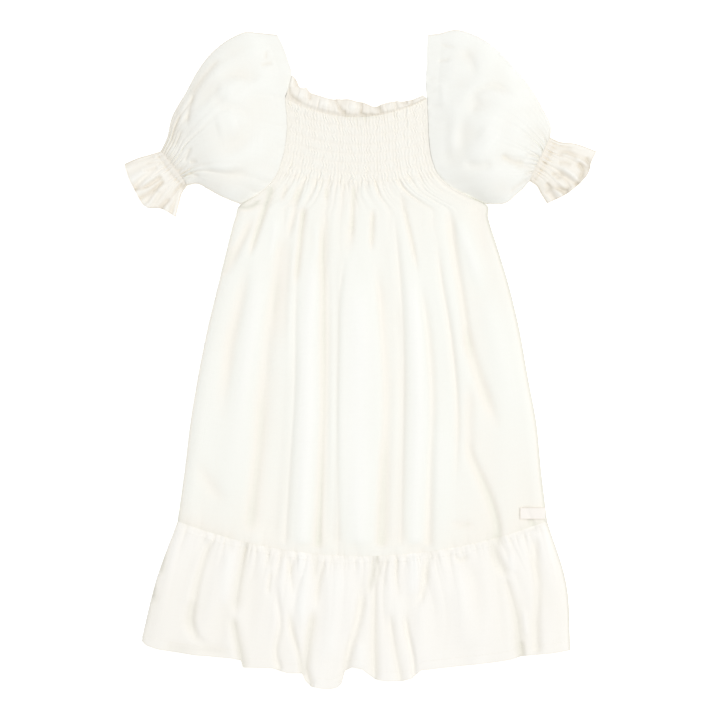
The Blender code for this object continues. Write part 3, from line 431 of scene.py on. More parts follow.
def through(keys, values, at):
    """A smooth curve through (keys, values), read at one or more places."""
    keys, values = np.asarray(keys, float), np.asarray(values, float)
    slopes = np.gradient(values, keys)
    at = np.clip(np.asarray(at, float), keys[0], keys[-1])
    k = np.clip(np.searchsorted(keys, at, side="right") - 1, 0, len(keys) - 2)
    span = keys[k + 1] - keys[k]
    t = (at - keys[k]) / span
    start = values[k] * (1 + 2 * t) * (1 - t) ** 2 + slopes[k] * span * t * (1 - t) ** 2
    end = values[k + 1] * t**2 * (3 - 2 * t) - slopes[k + 1] * span * t**2 * (1 - t)
    return start + end


def read(sizes, key, name, at):
    """The named column of a table, as a smooth curve over its key column."""
    return through(sizes[key], sizes[name], at)


def path_shares(points):
    steps = np.linalg.norm(np.diff(np.asarray(points, float), axis=0), axis=1)
    return np.concatenate([[0.0], np.cumsum(steps)]) / steps.sum()


def along_path(points, share):
    """Points of a smooth path at shares of its length."""
    points = np.asarray(points, float)
    keys = path_shares(points)
    return np.stack([through(keys, points[:, i], share) for i in range(points.shape[1])], axis=-1)


def spot(pixel):
    """Place on the dress, in millimetres, of a pixel of the photograph."""
    px, py = pixel
    return (px - PHOTO_AXIS) * PHOTO_SCALE, (py - PHOTO_TOP) * PHOTO_SCALE


def in_frame(x, drop, z):
    x, drop, z = np.broadcast_arrays(x, drop, z)
    return np.stack([(x - CENTRE_X) * MM, (CENTRE_DROP - drop) * MM, z * MM], axis=-1)


def side_x(side, drop):
    return read(BODY_SIDES, "drop", side, drop)


def row_drop(side_drop, x):
    """Drop of the point at x on the row whose ends are at side_drop."""
    left, right = side_x("left", side_drop), side_x("right", side_drop)
    across = 2.0 * (x - left) / (right - left) - 1.0
    return side_drop + read(ROW_SAG, "drop", "sag", side_drop) * (1.0 - across**2)


def ripple(x, y, wavelength, seed, waves=7):
    """An uneven undulation, mostly between -1 and 1, with this wavelength in x and in y."""
    draw = np.random.default_rng(seed)
    wide, tall = np.broadcast_to(wavelength, 2)
    total = np.zeros(np.broadcast(x, y).shape)
    for _ in range(waves):
        turn, phase = draw.uniform(0.0, 2 * math.pi, 2)
        pace = 2 * math.pi * draw.uniform(0.7, 1.5)
        total += np.sin(pace * (x * math.cos(turn) / wide + y * math.sin(turn) / tall) + phase)
    return total * 1.3 / waves**0.5 / 1.4


def creased(x, drop, creases):
    """How far the creases lower the cloth at each place, and how much shade they paint there (painted
    highlight where it is negative, on ridges).
    """
    lowered, crease_painted_shade = np.zeros(np.shape(x)), np.zeros(np.shape(x))
    for values in creases:
        row = dict(zip(CREASE_COLUMNS, values))
        route = along_path([spot(p) for p in row["route"]], np.linspace(0.0, 1.0, ROUTE_POINTS))
        reach = 3.0 * max(row["left"], row["right"])
        low, high = route.min(axis=0) - reach, route.max(axis=0) + reach
        close = (x > low[0]) & (x < high[0]) & (drop > low[1]) & (drop < high[1])
        px, pd = x[close], drop[close]
        if not len(px):
            continue
        best = np.full(len(px), np.inf)
        side, share = np.zeros(len(px)), np.zeros(len(px))
        for i, (a, b) in enumerate(zip(route, route[1:])):
            line = b - a
            at = np.clip(((px - a[0]) * line[0] + (pd - a[1]) * line[1]) / (line @ line), 0.0, 1.0)
            dx, dd = px - a[0] - at * line[0], pd - a[1] - at * line[1]
            away = dx**2 + dd**2
            closer = away < best
            best = np.where(closer, away, best)
            side = np.where(closer, line[0] * dd - line[1] * dx, side)
            share = np.where(closer, (i + at) / (ROUTE_POINTS - 1), share)
        width = np.where(side > 0, row["right"], row["left"])
        distance = np.sqrt(best) / width
        profile, tone = CREASE_SHAPES[row["shape"]]
        fade = smooth(share / row["start"]) * smooth((1.0 - share) / row["end"])
        lowered[close] += row["depth"] * fade * profile(distance)
        crease_painted_shade[close] += row["tone"] * fade * tone(distance)
    return lowered, crease_painted_shade


# For each shape of crease, the falls of its depth and of its painted shade with the distance in widths.
CREASE_SHAPES = {
    "soft": [lambda d: np.exp(-(d**2))] * 2,
    "flat": [lambda d: np.exp(-(d**4))] * 2,
    "sharp": [lambda d: (1.0 - np.minimum(np.hypot(d, 0.2) / 2.3, 1.0)) ** 2,
              lambda d: np.exp(-(d**1.5))],
}


def gathers(kind, cloth, away, seed):
    """Gathers that run away from a seam: uneven waves of several pitches across the cloth, each with its
    own height and the distance over which it dies out."""
    total = np.zeros(np.shape(cloth))
    for i, (pitch, height, length) in enumerate(GATHERS[kind]):
        shift = 0.32 * pitch * ripple(cloth, away * 0.3, pitch * 3.1, seed + i)
        wave = 2.0 * np.abs(np.sin(math.pi * (cloth + shift) / pitch)) - 1.2
        strength = 0.75 + 0.45 * ripple(cloth, away * 0.1, pitch * 2.3, seed + 40 + i)
        reach = length * (0.8 + 0.5 * ripple(cloth, 0.0 * away, pitch * 4.0, seed + 80 + i))
        total += height * strength * wave * np.exp(-np.maximum(away, 0.0) / np.maximum(reach, 0.3 * length))
    return total


def soft_floor(height, lowest, blend=1.2):
    """height, eased so that it stays above lowest."""
    over = height - lowest
    return lowest + np.where(over > blend, over, blend * np.exp(np.clip(over / blend - 1.0, -8.0, 0.0)))


def upright(slope):
    """Thickness of sloping cloth, measured straight down."""
    return CLOTH * np.minimum(np.sqrt(1.0 + slope**2), STEEPEST)


def under_side(x, top):
    slope = np.gradient(top, axis=1) / np.maximum(np.abs(np.gradient(x, axis=1)), 0.2)
    return np.maximum(top - upright(slope), FRONT_LOW)


def near(distance, width):
    """1 at distance 0, falling to 0 over about this width."""
    return np.exp(-((distance / width) ** 2))


def rounded(edge, reach):
    """1 over the middle of a piece, rounding down to 0 at its edge."""
    inward = np.clip(1.0 - edge / reach, 0.0, 1.0)
    return np.sqrt(np.maximum(1.0 - inward**2, 0.0))


def make_piece(name, points, faces, uv, painted_shade, material, replaced=None, sharp=70):
    """A mesh with cloth coordinates, and with a per-point attribute of painted shade, 0 to 1, which its
    material turns into darker and warmer colour.
    """
    mesh = bpy.data.meshes.new(name)
    mesh.from_pydata(np.asarray(points).tolist(), [], faces)
    layer = mesh.uv_layers.new(name="cloth")
    corners = np.empty(len(mesh.loops), dtype=np.int32)
    mesh.loops.foreach_get("vertex_index", corners)
    layer.data.foreach_set("uv", np.asarray(uv, dtype=np.float32)[corners].ravel())
    tone = mesh.attributes.new("painted_shade", "FLOAT", "POINT")
    tone.data.foreach_set("value", np.asarray(painted_shade, dtype=np.float32).ravel())
    shape = bmesh.new()
    shape.from_mesh(mesh)
    bmesh.ops.recalc_face_normals(shape, faces=shape.faces)
    shape.to_mesh(mesh)
    shape.free()
    mesh.materials.append(material)
    mesh.shade_smooth()
    mesh.set_sharp_from_angle(angle=math.radians(sharp))
    made = bpy.data.objects.new(name, mesh)
    bpy.context.scene.collection.objects.link(made)
    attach(made, "root")
    if replaced:
        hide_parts(replaced)
    return made


def border_of(rows, columns, first=0):
    top = [first + c for c in range(columns)]
    right = [first + r * columns + columns - 1 for r in range(1, rows)]
    bottom = [first + (rows - 1) * columns + c for c in range(columns - 2, -1, -1)]
    left = [first + r * columns for r in range(rows - 2, 0, -1)]
    return top + right + bottom + left


def grid_faces(rows, columns, first=0):
    r, c = np.meshgrid(np.arange(rows - 1), np.arange(columns - 1), indexing="ij")
    corner = first + r * columns + c
    quads = np.stack([corner, corner + 1, corner + columns + 1, corner + columns], axis=-1)
    return quads.reshape(-1, 4)


def two_sided(name, outer, inner, faces, uv, painted_shade, material, replaced, slot="linen"):
    """A closed piece of cloth from grids of points of its outside and its inside."""
    points = np.concatenate([outer.reshape(-1, 3), inner.reshape(-1, 3)])
    uvs = np.concatenate([uv.reshape(-1, 2)] * 2)
    painted_shades = np.clip(np.concatenate([painted_shade.ravel()] * 2), 0.0, 1.0)
    return make_piece(name, points, faces, uvs, painted_shades, material, replaced)


def shell(name, x, drop, top, low, *looks):
    """A sheet of cloth with its outside at the heights top and its inside at low. "looks" is the rest of
    what two_sided() takes, from the cloth coordinates on."""
    rows, columns = x.shape
    first = rows * columns
    up, down = border_of(rows, columns), border_of(rows, columns, first)
    rim = [(up[i], down[i], down[(i + 1) % len(up)], up[(i + 1) % len(up)]) for i in range(len(up))]
    outside, inside = grid_faces(rows, columns), grid_faces(rows, columns, first)[:, ::-1]
    faces = [*outside.tolist(), *inside.tolist(), *rim]
    return two_sided(name, in_frame(x, drop, top), in_frame(x, drop, low), faces, *looks)


# Materials


def woven(name, tones, thread, slub, bump, sheen):
    """Woven cloth in cloth coordinates: crossing threads, uneven slubs and faint clouds of colour. The
    tones are a ramp of
    painted light and shade: painted highlight on a ridge, open cloth, then painted shade in a shallow
    hollow, a fold and its depth."""
    made = bpy.data.materials.new(name)
    made.use_nodes = True
    tree = made.node_tree

    def feed(target, inputs):
        """Join each input to an output of another node, or set its value."""
        for socket, value in inputs.items():
            if isinstance(value, bpy.types.NodeSocket):
                tree.links.new(value, target.inputs[socket])
            else:
                target.inputs[socket].default_value = value

    def node(kind, inputs, **settings):
        added = tree.nodes.new("ShaderNode" + kind)
        for setting, value in settings.items():
            setattr(added, setting, value)
        feed(added, inputs)
        return added

    def maths(operation, first, second):
        return node("Math", {0: first, 1: second}, operation=operation).outputs["Value"]

    cloth = node("TexCoord", {}).outputs["UV"]

    def threads(direction):
        bands = {"Vector": cloth, "Scale": 0.314 / thread, "Distortion": 1.2, "Detail": 1.0,
                 "Detail Scale": 1.5}
        return node("TexWave", bands, wave_type="BANDS", bands_direction=direction).outputs["Fac"]

    def slubs(u_scale, v_scale):
        stretched = node("Mapping", {"Vector": cloth, "Scale": (u_scale, v_scale, 1.0)}).outputs["Vector"]
        return node("TexNoise", {"Vector": stretched, "Scale": 1.0, "Detail": 2.0}).outputs["Fac"]

    weave = maths("ADD", threads("X"), threads("Y"))
    across, along = 1.0 / slub, 0.045 / slub
    slubbed = maths("ADD", slubs(along, across), slubs(across, along))
    height = maths("ADD", maths("MULTIPLY", weave, 0.35), slubbed)
    raised = node("Bump", {"Strength": 0.6, "Distance": bump, "Height": height})

    clouds = node("TexNoise", {"Vector": cloth, "Scale": 9.0, "Detail": 3.0})
    uneven = maths("ADD", maths("MULTIPLY", clouds.outputs["Fac"], 0.26), maths("MULTIPLY", slubbed, 0.10))
    # Each point's painted shade picks its colour on the ramp: darker and warmer in folds, hollows, seams
    # and along edges.
    painted_shade = node("Attribute", {}, attribute_name="painted_shade").outputs["Fac"]
    tone = node("ValToRGB", {"Fac": maths("ADD", painted_shade, maths("SUBTRACT", uneven, 0.23))})
    stops = tone.color_ramp.elements
    for position, colour in zip(TONE_STOPS, tones):
        stop = stops[0] if position == 0.0 else stops[-1] if position == 1.0 else stops.new(position)
        stop.color = (*colour, 1.0)
    feed(tree.nodes["Principled BSDF"], {
        "Base Color": tone.outputs["Color"], "Normal": raised.outputs["Normal"], "Roughness": 0.88,
        "Sheen Weight": sheen, "Sheen Roughness": 0.5,
    })
    return made


# Ramps of painted light and shade: painted highlight, open cloth, then painted shade from a shallow hollow
# to the depth of a fold.
TONE_STOPS = (0.0, 0.25, 0.5, 0.72, 1.0)
BODY_TONES = ((0.962, 0.962, 0.925), (0.932, 0.934, 0.880), (0.936, 0.905, 0.833), (0.862, 0.85, 0.765),
              (0.75, 0.735, 0.655))
HEM_TONES = ((0.965, 0.960, 0.925), (0.957, 0.938, 0.892), (0.935, 0.908, 0.843), (0.862, 0.84, 0.77),
             (0.75, 0.73, 0.65))
SLEEVE_TONES = ((0.937, 0.943, 0.906), (0.916, 0.919, 0.874), (0.897, 0.882, 0.822), (0.86, 0.83, 0.755),
                (0.79, 0.75, 0.665))
FRILL_TONES = ((0.955, 0.950, 0.902), (0.937, 0.920, 0.864), (0.918, 0.885, 0.812), (0.862, 0.815, 0.73),
               (0.77, 0.725, 0.635))
TAPE_TONES = ((0.95, 0.915, 0.865), (0.935, 0.892, 0.832), (0.90, 0.845, 0.77), (0.82, 0.76, 0.68),
              (0.74, 0.68, 0.60))
THREAD_TONES = ((0.955, 0.94, 0.89), (0.93, 0.905, 0.85), (0.90, 0.87, 0.80), (0.87, 0.83, 0.76),
                (0.84, 0.80, 0.72))
# Copies of one linen, each with its own ramp of painted shade: warmer for the gathered frills and cuffs,
# cooler and greyer for the sleeves.
LINEN = woven("linen_body", BODY_TONES, 0.0011, 0.0016, 0.00016, 0.05)
HEM_LINEN = woven("linen_ruffle", HEM_TONES, 0.0011, 0.0016, 0.00016, 0.05)
SLEEVE_LINEN = woven("linen_sleeves", SLEEVE_TONES, 0.0011, 0.0016, 0.00016, 0.05)
FRILL_LINEN = woven("linen_frills", FRILL_TONES, 0.0011, 0.0016, 0.00016, 0.05)
TAPE = woven("tape_weave", TAPE_TONES, 0.0007, 0.0008, 0.00008, 0.05)
THREAD = woven("sewing_thread", THREAD_TONES, 0.0004, 0.0005, 0.00004, 0.1)


# The front of the body

def shirring_row(side_drop):
    """The place of side_drop among the shirring rows: a whole number on a row."""
    return (side_drop - YOKE_DROP) * (SHIRRING_ROWS - 1) / (YOKE_END - YOKE_DROP)


def front_form(x, drop, side_drop):
    """Height of the front's outside, and the shade painted on each place: darker in folds, gathers, seams
    and along its edges, lighter on crests.
    """
    left, right = side_x("left", side_drop), side_x("right", side_drop)
    edge = np.minimum(x - left, right - x)
    rise = read(SKIRT_RISE, "drop", "rise", side_drop)
    at_armhole = 1.0 - smooth((side_drop - 168) / 10.0)
    cloth = YOKE_CLOTH * (x - left) / (right - left)

    # Shirred rows of the yoke: each thread pinches the cloth, and it puffs up between two threads.
    row = shirring_row(side_drop)
    row_gap = (YOKE_END - YOKE_DROP) / (SHIRRING_ROWS - 1)
    from_thread = np.abs(row - np.round(row)) * row_gap
    between = np.sin(math.pi * row) ** 2
    shirred = 1.0 - smooth((side_drop - YOKE_END) / 8.0)
    sway = 0.9 * ripple(cloth, drop, (16.0, 9.0), 5) + 0.35 * np.sin(math.pi * np.floor(row))
    fine = np.sin(2 * math.pi * (cloth + sway) / 3.2)
    coarse = np.sin(2 * math.pi * (cloth + 1.6 * ripple(cloth, drop, (22.0, 30.0), 11)) / 9.5)
    uneven = 0.7 + 0.5 * ripple(cloth, drop, (12.0, 14.0), 17)
    ends = 0.8 + 0.5 * near(side_drop - YOKE_DROP, 15.0) + 0.5 * near(YOKE_END - side_drop, 15.0)
    smocked = ends * uneven * ((0.3 + 0.26 * between) * fine + 0.24 * coarse) + 0.34 * between
    smocked = (smocked - 0.2 * near(from_thread, 0.8) * (row < SHIRRING_ROWS - 1.5)) * shirred

    away = side_drop - YOKE_END
    below = smooth((away + 5.0) / 9.0)
    fan = gathers("skirt_top", cloth, away, 23)
    fan *= below * smooth(edge / 6.0) * smooth((HEM_SEAM - side_drop) / 30.0)
    long_waves = 0.7 * ripple(cloth, drop * 0.2, (20.0, 60.0), 31) * smooth(away / 90.0)

    to_seam = HEM_SEAM - side_drop
    hem_gathers = gathers("skirt_foot", cloth, to_seam, 61)
    folds, fold_painted_shade = creased(x, drop, SKIRT_CREASES)
    folds *= smooth(edge / 8.0)
    height = FRONT_TOP + rise + fan + long_waves - folds - 0.8 * near(to_seam, 3.2) + hem_gathers
    height = soft_floor(height, FRONT_TOP - 0.1)
    lowest = FRONT_TOP - 0.2 + 0.8 * at_armhole
    held = 0.08 + 0.72 * at_armhole
    inside = held + (1.0 - held) * rounded(edge, 3.0 + SIDE_ROUND * smooth((side_drop - 145) / 60.0))
    height = lowest + (height + smocked * smooth(edge / 4.0) - lowest) * inside
    under_sleeve = at_armhole * smooth(-edge / (0.6 * TUCK))
    height -= under_sleeve * (height - FRONT_TOP - 0.3)

    # Painted shade of the yoke: darker where the threads pinch, lighter on the puffs, and a painted shadow
    # under the middle of the frill's foot.
    yoke_painted_shade = OPEN_PAINTED_SHADE["yoke"] - 0.13 * smocked
    yoke_painted_shade += 0.16 * near(side_drop - YOKE_DROP, 5.0) * near(x, 34.0)
    # Painted shade of the skirt: the creases' painted shade, darker just under the shirring and at the hem
    # seam, lighter on the crests of the gathers and waves.
    skirt_painted_shade = OPEN_PAINTED_SHADE["skirt"] + fold_painted_shade + 0.2 * np.exp(-np.maximum(away, 0.0) / 38.0) - 0.08 * fan
    skirt_painted_shade += 0.04 * near(to_seam, 2.4) - 0.08 * hem_gathers - 0.05 * long_waves
    # Painted shade, warmer and darker towards the hem seam, most at the sides, and darker towards the right
    # side.
    skirt_painted_shade += np.exp(-to_seam / 30.0) * (0.12 + 0.1 * smooth((np.abs(x) - 50.0) / 60.0))
    skirt_painted_shade += 0.07 * smooth((x - 90.0) / 40.0)
    painted_shade = shirred * yoke_painted_shade + (1.0 - shirred) * skirt_painted_shade
    # Painted shade along the sides where the cloth rounds away, and at the armhole along the sleeve's edge.
    rim = np.maximum(0.4 * near(np.maximum(x - left, 0.0), 2.2),
                     0.9 * near(np.maximum(right - x, 0.0), 2.6))
    painted_shade += (1.0 - at_armhole) * rim + 0.1 * at_armhole * near(edge - 1.5, 2.6)
    return height, painted_shade


def body_grid(side_drops, columns, tuck=0.0):
    under = tuck * (1.0 - smooth((side_drops - 170.0) / 9.0))
    left, right = side_x("left", side_drops) - under, side_x("right", side_drops) + under
    share = np.linspace(0.0, 1.0, columns)[None, :]
    x = left[:, None] + (right - left)[:, None] * share
    rows = np.broadcast_to(side_drops[:, None], x.shape)
    return x, row_drop(rows, x), rows


def body_uv(x, rows, weave):
    left, right = side_x("left", rows), side_x("right", rows)
    share = (x - left) / (right - left)
    return np.stack([share * weave, rows * MM], axis=-1)


def front_pieces():
    yoke_rows = np.linspace(YOKE_DROP, YOKE_END, YOKE_ROWS)
    share = np.linspace(0.0, 1.0, SKIRT_ROWS)
    skirt_rows = YOKE_END - 0.6 + (HEM_SEAM - YOKE_END + 0.6) * share ** 1.25
    made = []
    for name, rows in (("yoke_front", yoke_rows), ("skirt_front", skirt_rows)):
        x, drop, side_drop = body_grid(rows, BODY_COLUMNS, TUCK)
        top, painted_shade = front_form(x, drop, side_drop)
        top -= 0.08 * (side_drop < YOKE_END) * (name == "skirt_front")
        uv = body_uv(x, side_drop, BODY_WEAVE)
        made.append(shell(name, x, drop, top, under_side(x, top), uv, painted_shade, LINEN, "front_panel"))
    return made


def front_point(x, drop):
    """Height of the front at one or more places, away from the grid."""
    x, drop = np.atleast_1d(np.asarray(x, float)), np.atleast_1d(np.asarray(drop, float))
    side_drop = drop.copy()
    for _ in range(12):
        side_drop -= row_drop(side_drop, x) - drop
    return front_form(x, drop, side_drop)[0]


def front_row(x, side_drop):
    """Drop and height of the front along the row whose ends are at side_drop."""
    rows = np.full(x.shape, float(side_drop))
    drop = row_drop(rows, x)
    return drop, front_form(x, drop, rows)[0]


# The hem ruffle

def hem_drop(x):
    edge = np.array([spot(p) for p in HEM_EDGE])
    return np.interp(x, edge[:, 0], edge[:, 1])


def ruffle_grid(shares, columns):
    across = np.linspace(0.0, 1.0, columns)[None, :]
    ends = {side: through((0, 0.5, 1), RUFFLE_ENDS[side], shares)[:, None] for side in ("left", "right")}
    x = ends["left"] + (ends["right"] - ends["left"]) * across
    seam_x = RUFFLE_ENDS["left"][0] + (RUFFLE_ENDS["right"][0] - RUFFLE_ENDS["left"][0]) * across
    seam = row_drop(HEM_SEAM, seam_x) + SEAM_GAP
    drop = seam + (hem_drop(x[-1:]) - seam) * shares[:, None]
    return x, drop, np.broadcast_to(across, x.shape)


def ruffle_form(x, drop, across, share):
    width = x[:, -1:] - x[:, :1]
    edge = np.minimum(across, 1.0 - across) * width
    cloth = across * RUFFLE_CLOTH
    away = share * RUFFLE_LENGTH
    puckers = gathers("ruffle", cloth, away, 71)
    sway = 0.9 * ripple(cloth, away * 0.4, (30.0, 60.0), 83) * smooth(share / 0.3)
    folds, fold_painted_shade = creased(x, drop, RUFFLE_CREASES)
    folds *= smooth(edge / 8.0)
    height = FRONT_TOP + RUFFLE_RISE + puckers * smooth(edge / 8.0) + sway - folds
    height = soft_floor(height, FRONT_TOP - 0.1)
    lowest = FRONT_TOP - 0.2
    height = lowest + (height - lowest) * (0.08 + 0.92 * rounded(edge, 10.0 + 4.0 * share))
    at_seam = front_row(x[np.argmin(np.abs(share[:, 0]))], HEM_SEAM)[1] - 0.4
    free = smooth(away / 7.0)
    height = at_seam + 0.3 * np.minimum(away, 0.0) + (height - at_seam) * free
    # Painted shade of the ruffle: the creases' painted shade, darker near the seam and warmer and darker
    # towards both sides, lighter on the crests of the gathers and waves.
    painted_shade = OPEN_PAINTED_SHADE["ruffle"] + fold_painted_shade + 0.08 * np.exp(-np.maximum(away, 0.0) / 26.0)
    painted_shade += 0.08 * smooth((np.abs(x - 20.0) - 70.0) / 60.0) * smooth((share - 0.1) / 0.5)
    painted_shade -= 0.08 * puckers + 0.05 * sway
    # Painted shade along both ends, at the seam and along the hem's edge.
    rim = np.maximum(0.3 * near(across * width, 2.4), 0.8 * near((1.0 - across) * width, 2.2))
    painted_shade += 0.04 * near(away, 3.0) + rim + 0.25 * near(RUFFLE_LENGTH - away, 1.2)
    return height, painted_shade


def hem_ruffle():
    shares = np.concatenate([[-0.012, -0.005], np.linspace(0.0, 1.0, RUFFLE_ROWS) ** 1.1])
    x, drop, across = ruffle_grid(shares, RUFFLE_COLUMNS)
    share = np.broadcast_to(shares[:, None], x.shape)
    top, painted_shade = ruffle_form(x, drop, across, share)
    uv = np.stack([across, share], axis=-1) * RUFFLE_WEAVE
    made = shell("hem_ruffle_front_cloth", x, drop, top, under_side(x, top), uv, painted_shade, HEM_LINEN,
                 "hem_ruffle_front")
    return made, (x, drop, top)


# The flat back

def back_sheet(name, x, drop, uv, replaced, puckers, material=LINEN):
    """A sheet flat on the table, with shallow creases and puckers on its underside."""
    lifted, fold_painted_shade = creased(x, drop, BACK_CREASES)
    lifted += 0.12 * np.maximum(ripple(x, drop, (26.0, 90.0), 91), 0.0) + np.maximum(puckers, 0.0)
    edge = smooth(np.minimum(np.arange(x.shape[1]), np.arange(x.shape[1])[::-1]) / 4.0)
    lifted = np.clip(lifted * edge, 0.0, 0.55)
    # Painted shade in the shallow creases, and where the underside lifts off the table.
    painted_shade = OPEN_PAINTED_SHADE["back"] + 0.9 * fold_painted_shade + 0.4 * lifted
    return shell(name, x, drop, BACK_TOP, lifted, uv, painted_shade, material, replaced)


def back_pieces():
    made = []
    for name, start, end in (("back_yoke", YOKE_DROP, YOKE_END), ("back_skirt", YOKE_END, HEM_SEAM)):
        rows, columns = GRIDS[name]
        x, drop, side_drop = body_grid(np.linspace(start, end, rows), columns)
        cloth = np.broadcast_to(np.linspace(0.0, YOKE_CLOTH, columns), x.shape)
        away = np.maximum(side_drop - YOKE_END, 0.0)
        between = np.sin(math.pi * shirring_row(side_drop)) ** 2
        shirred = np.where(side_drop <= YOKE_END, between, 0.0)
        fine = np.sin(2 * math.pi * (cloth + 0.8 * ripple(cloth, drop, (15.0, 9.0), 95)) / 3.6)
        puckers = 0.3 * shirred * fine + gathers("back", cloth, away, 97)
        made.append(back_sheet(name, x, drop, body_uv(x, side_drop, BACK_WEAVE), "back_panel", puckers))
    rows, columns = GRIDS["back_ruffle"]
    shares = np.linspace(0.0, 1.0, rows)
    x, drop, across = ruffle_grid(shares, columns)
    drop = drop - 3.0 * shares[:, None]
    share = np.broadcast_to(shares[:, None], x.shape)
    uv = np.stack([across, share], axis=-1) * BACK_RUFFLE_WEAVE
    puckers = gathers("back_ruffle", across * RUFFLE_CLOTH, share * RUFFLE_LENGTH, 99)
    made.append(back_sheet("hem_ruffle_back_cloth", x, drop, uv, "hem_ruffle_back", puckers, HEM_LINEN))
    return made


# The frill along the neck

def frill_grid(rows, columns, shorter=0.0, start=0.0):
    foot_x = np.linspace(side_x("left", YOKE_DROP), side_x("right", YOKE_DROP), columns)
    foot = row_drop(YOKE_DROP, foot_x) - SEAM_GAP
    edge = np.array([spot(p) for p in FRILL_EDGE])
    top_x = np.linspace(edge[0, 0] + 1.0, edge[-1, 0] - 1.0, columns)
    top = through(edge[:, 0], edge[:, 1], top_x) + shorter
    share = np.linspace(start, 1.0, rows)[:, None]
    x = foot_x + (top_x - foot_x) * share
    drop = foot + (top - foot) * share
    return x, drop, np.broadcast_to(share, x.shape)


def frill_form(x, drop, share):
    edge = np.minimum(x - x[:, :1], x[:, -1:] - x)
    cloth = np.broadcast_to(np.linspace(0.0, FRILL_CLOTH, x.shape[1]), x.shape)
    away = share * FRILL_HEIGHT
    puckers = gathers("frill", cloth, away, 101)
    puff = 1.6 * np.sin(math.pi * np.clip(share * 1.1, 0.0, 1.0))
    wavy = 1.6 * ripple(cloth, share * 8.0, (24.0, 30.0), 107) * share
    folds, fold_painted_shade = creased(x, drop, FRILL_CREASES)
    height = FRONT_TOP + 0.4 + FRILL_RISE + puff + wavy + puckers - folds
    height = soft_floor(height, FRONT_TOP - 0.2, 0.6)
    height = FRONT_TOP - 0.2 + (height - FRONT_TOP + 0.2) * smooth(edge / 3.0 + 0.35)
    at_foot = front_row(x[np.argmin(np.abs(share[:, 0]))], YOKE_DROP)[1] - 0.15
    free = smooth(away / 4.0)
    height = at_foot + 0.3 * np.minimum(away, 0.0) + (height - at_foot) * free
    # Painted shade of the frill: the creases' painted shade, lighter on the crests of its puckers, waves
    # and puffs.
    painted_shade = OPEN_PAINTED_SHADE["frill"] + 0.85 * fold_painted_shade - 0.12 * puckers - 0.06 * wavy - 0.04 * puff
    # A patchy painted shadow along the frill's foot, deepest at the middle, and painted shade along its
    # upper edge.
    patchy = 0.5 + 0.5 * ripple(cloth, 0.0 * cloth, 26.0, 113)
    painted_foot_shadow = 0.06 * patchy + 0.12 * near(x, 34.0)
    painted_shade += painted_foot_shadow * near(away - 0.5, 2.6) + 0.22 * near(FRILL_HEIGHT - away, 0.9)
    return height, painted_shade


def neck_frill():
    x, drop, share = frill_grid(*GRIDS["frill"], start=-0.08)
    top, painted_shade = frill_form(x, drop, share)
    across = np.broadcast_to(np.linspace(0.0, 1.0, x.shape[1]), x.shape)
    uv = np.stack([across, share], axis=-1) * FRILL_WEAVE
    front = shell("neck_frill_front_cloth", x, drop, top, under_side(x, top), uv, painted_shade, FRILL_LINEN,
                  "neck_frill_front")
    x, drop, share = frill_grid(*GRIDS["back_frill"], shorter=2.0)
    cloth = np.broadcast_to(np.linspace(0.0, FRILL_CLOTH, x.shape[1]), x.shape)
    uv = np.stack([cloth * MM * 0.5, share * FRILL_WEAVE[1]], axis=-1)
    puckers = gathers("back_frill", cloth, share * FRILL_HEIGHT, 109)
    back = back_sheet("neck_frill_back_cloth", x, drop, uv, "neck_frill_back", puckers, FRILL_LINEN)
    return front, back


# Sleeves and cuffs

OUTWARDS = {"left": -1.0, "right": 1.0}


def patch(top, foot, start, end, along, across):
    """Place on the sheet between four paths: "along" runs from start to end, "across" from top to foot."""
    u, t = along[..., None], across[..., None]
    ruled = (1 - t) * along_path(top, along) + t * along_path(foot, along)
    crossed = (1 - u) * along_path(start, across) + u * along_path(end, across)
    corner = [np.asarray(p, float) for p in (top[0], foot[0], top[-1], foot[-1])]
    bilinear = (1 - u) * ((1 - t) * corner[0] + t * corner[1]) + u * ((1 - t) * corner[2] + t * corner[3])
    return ruled + crossed - bilinear


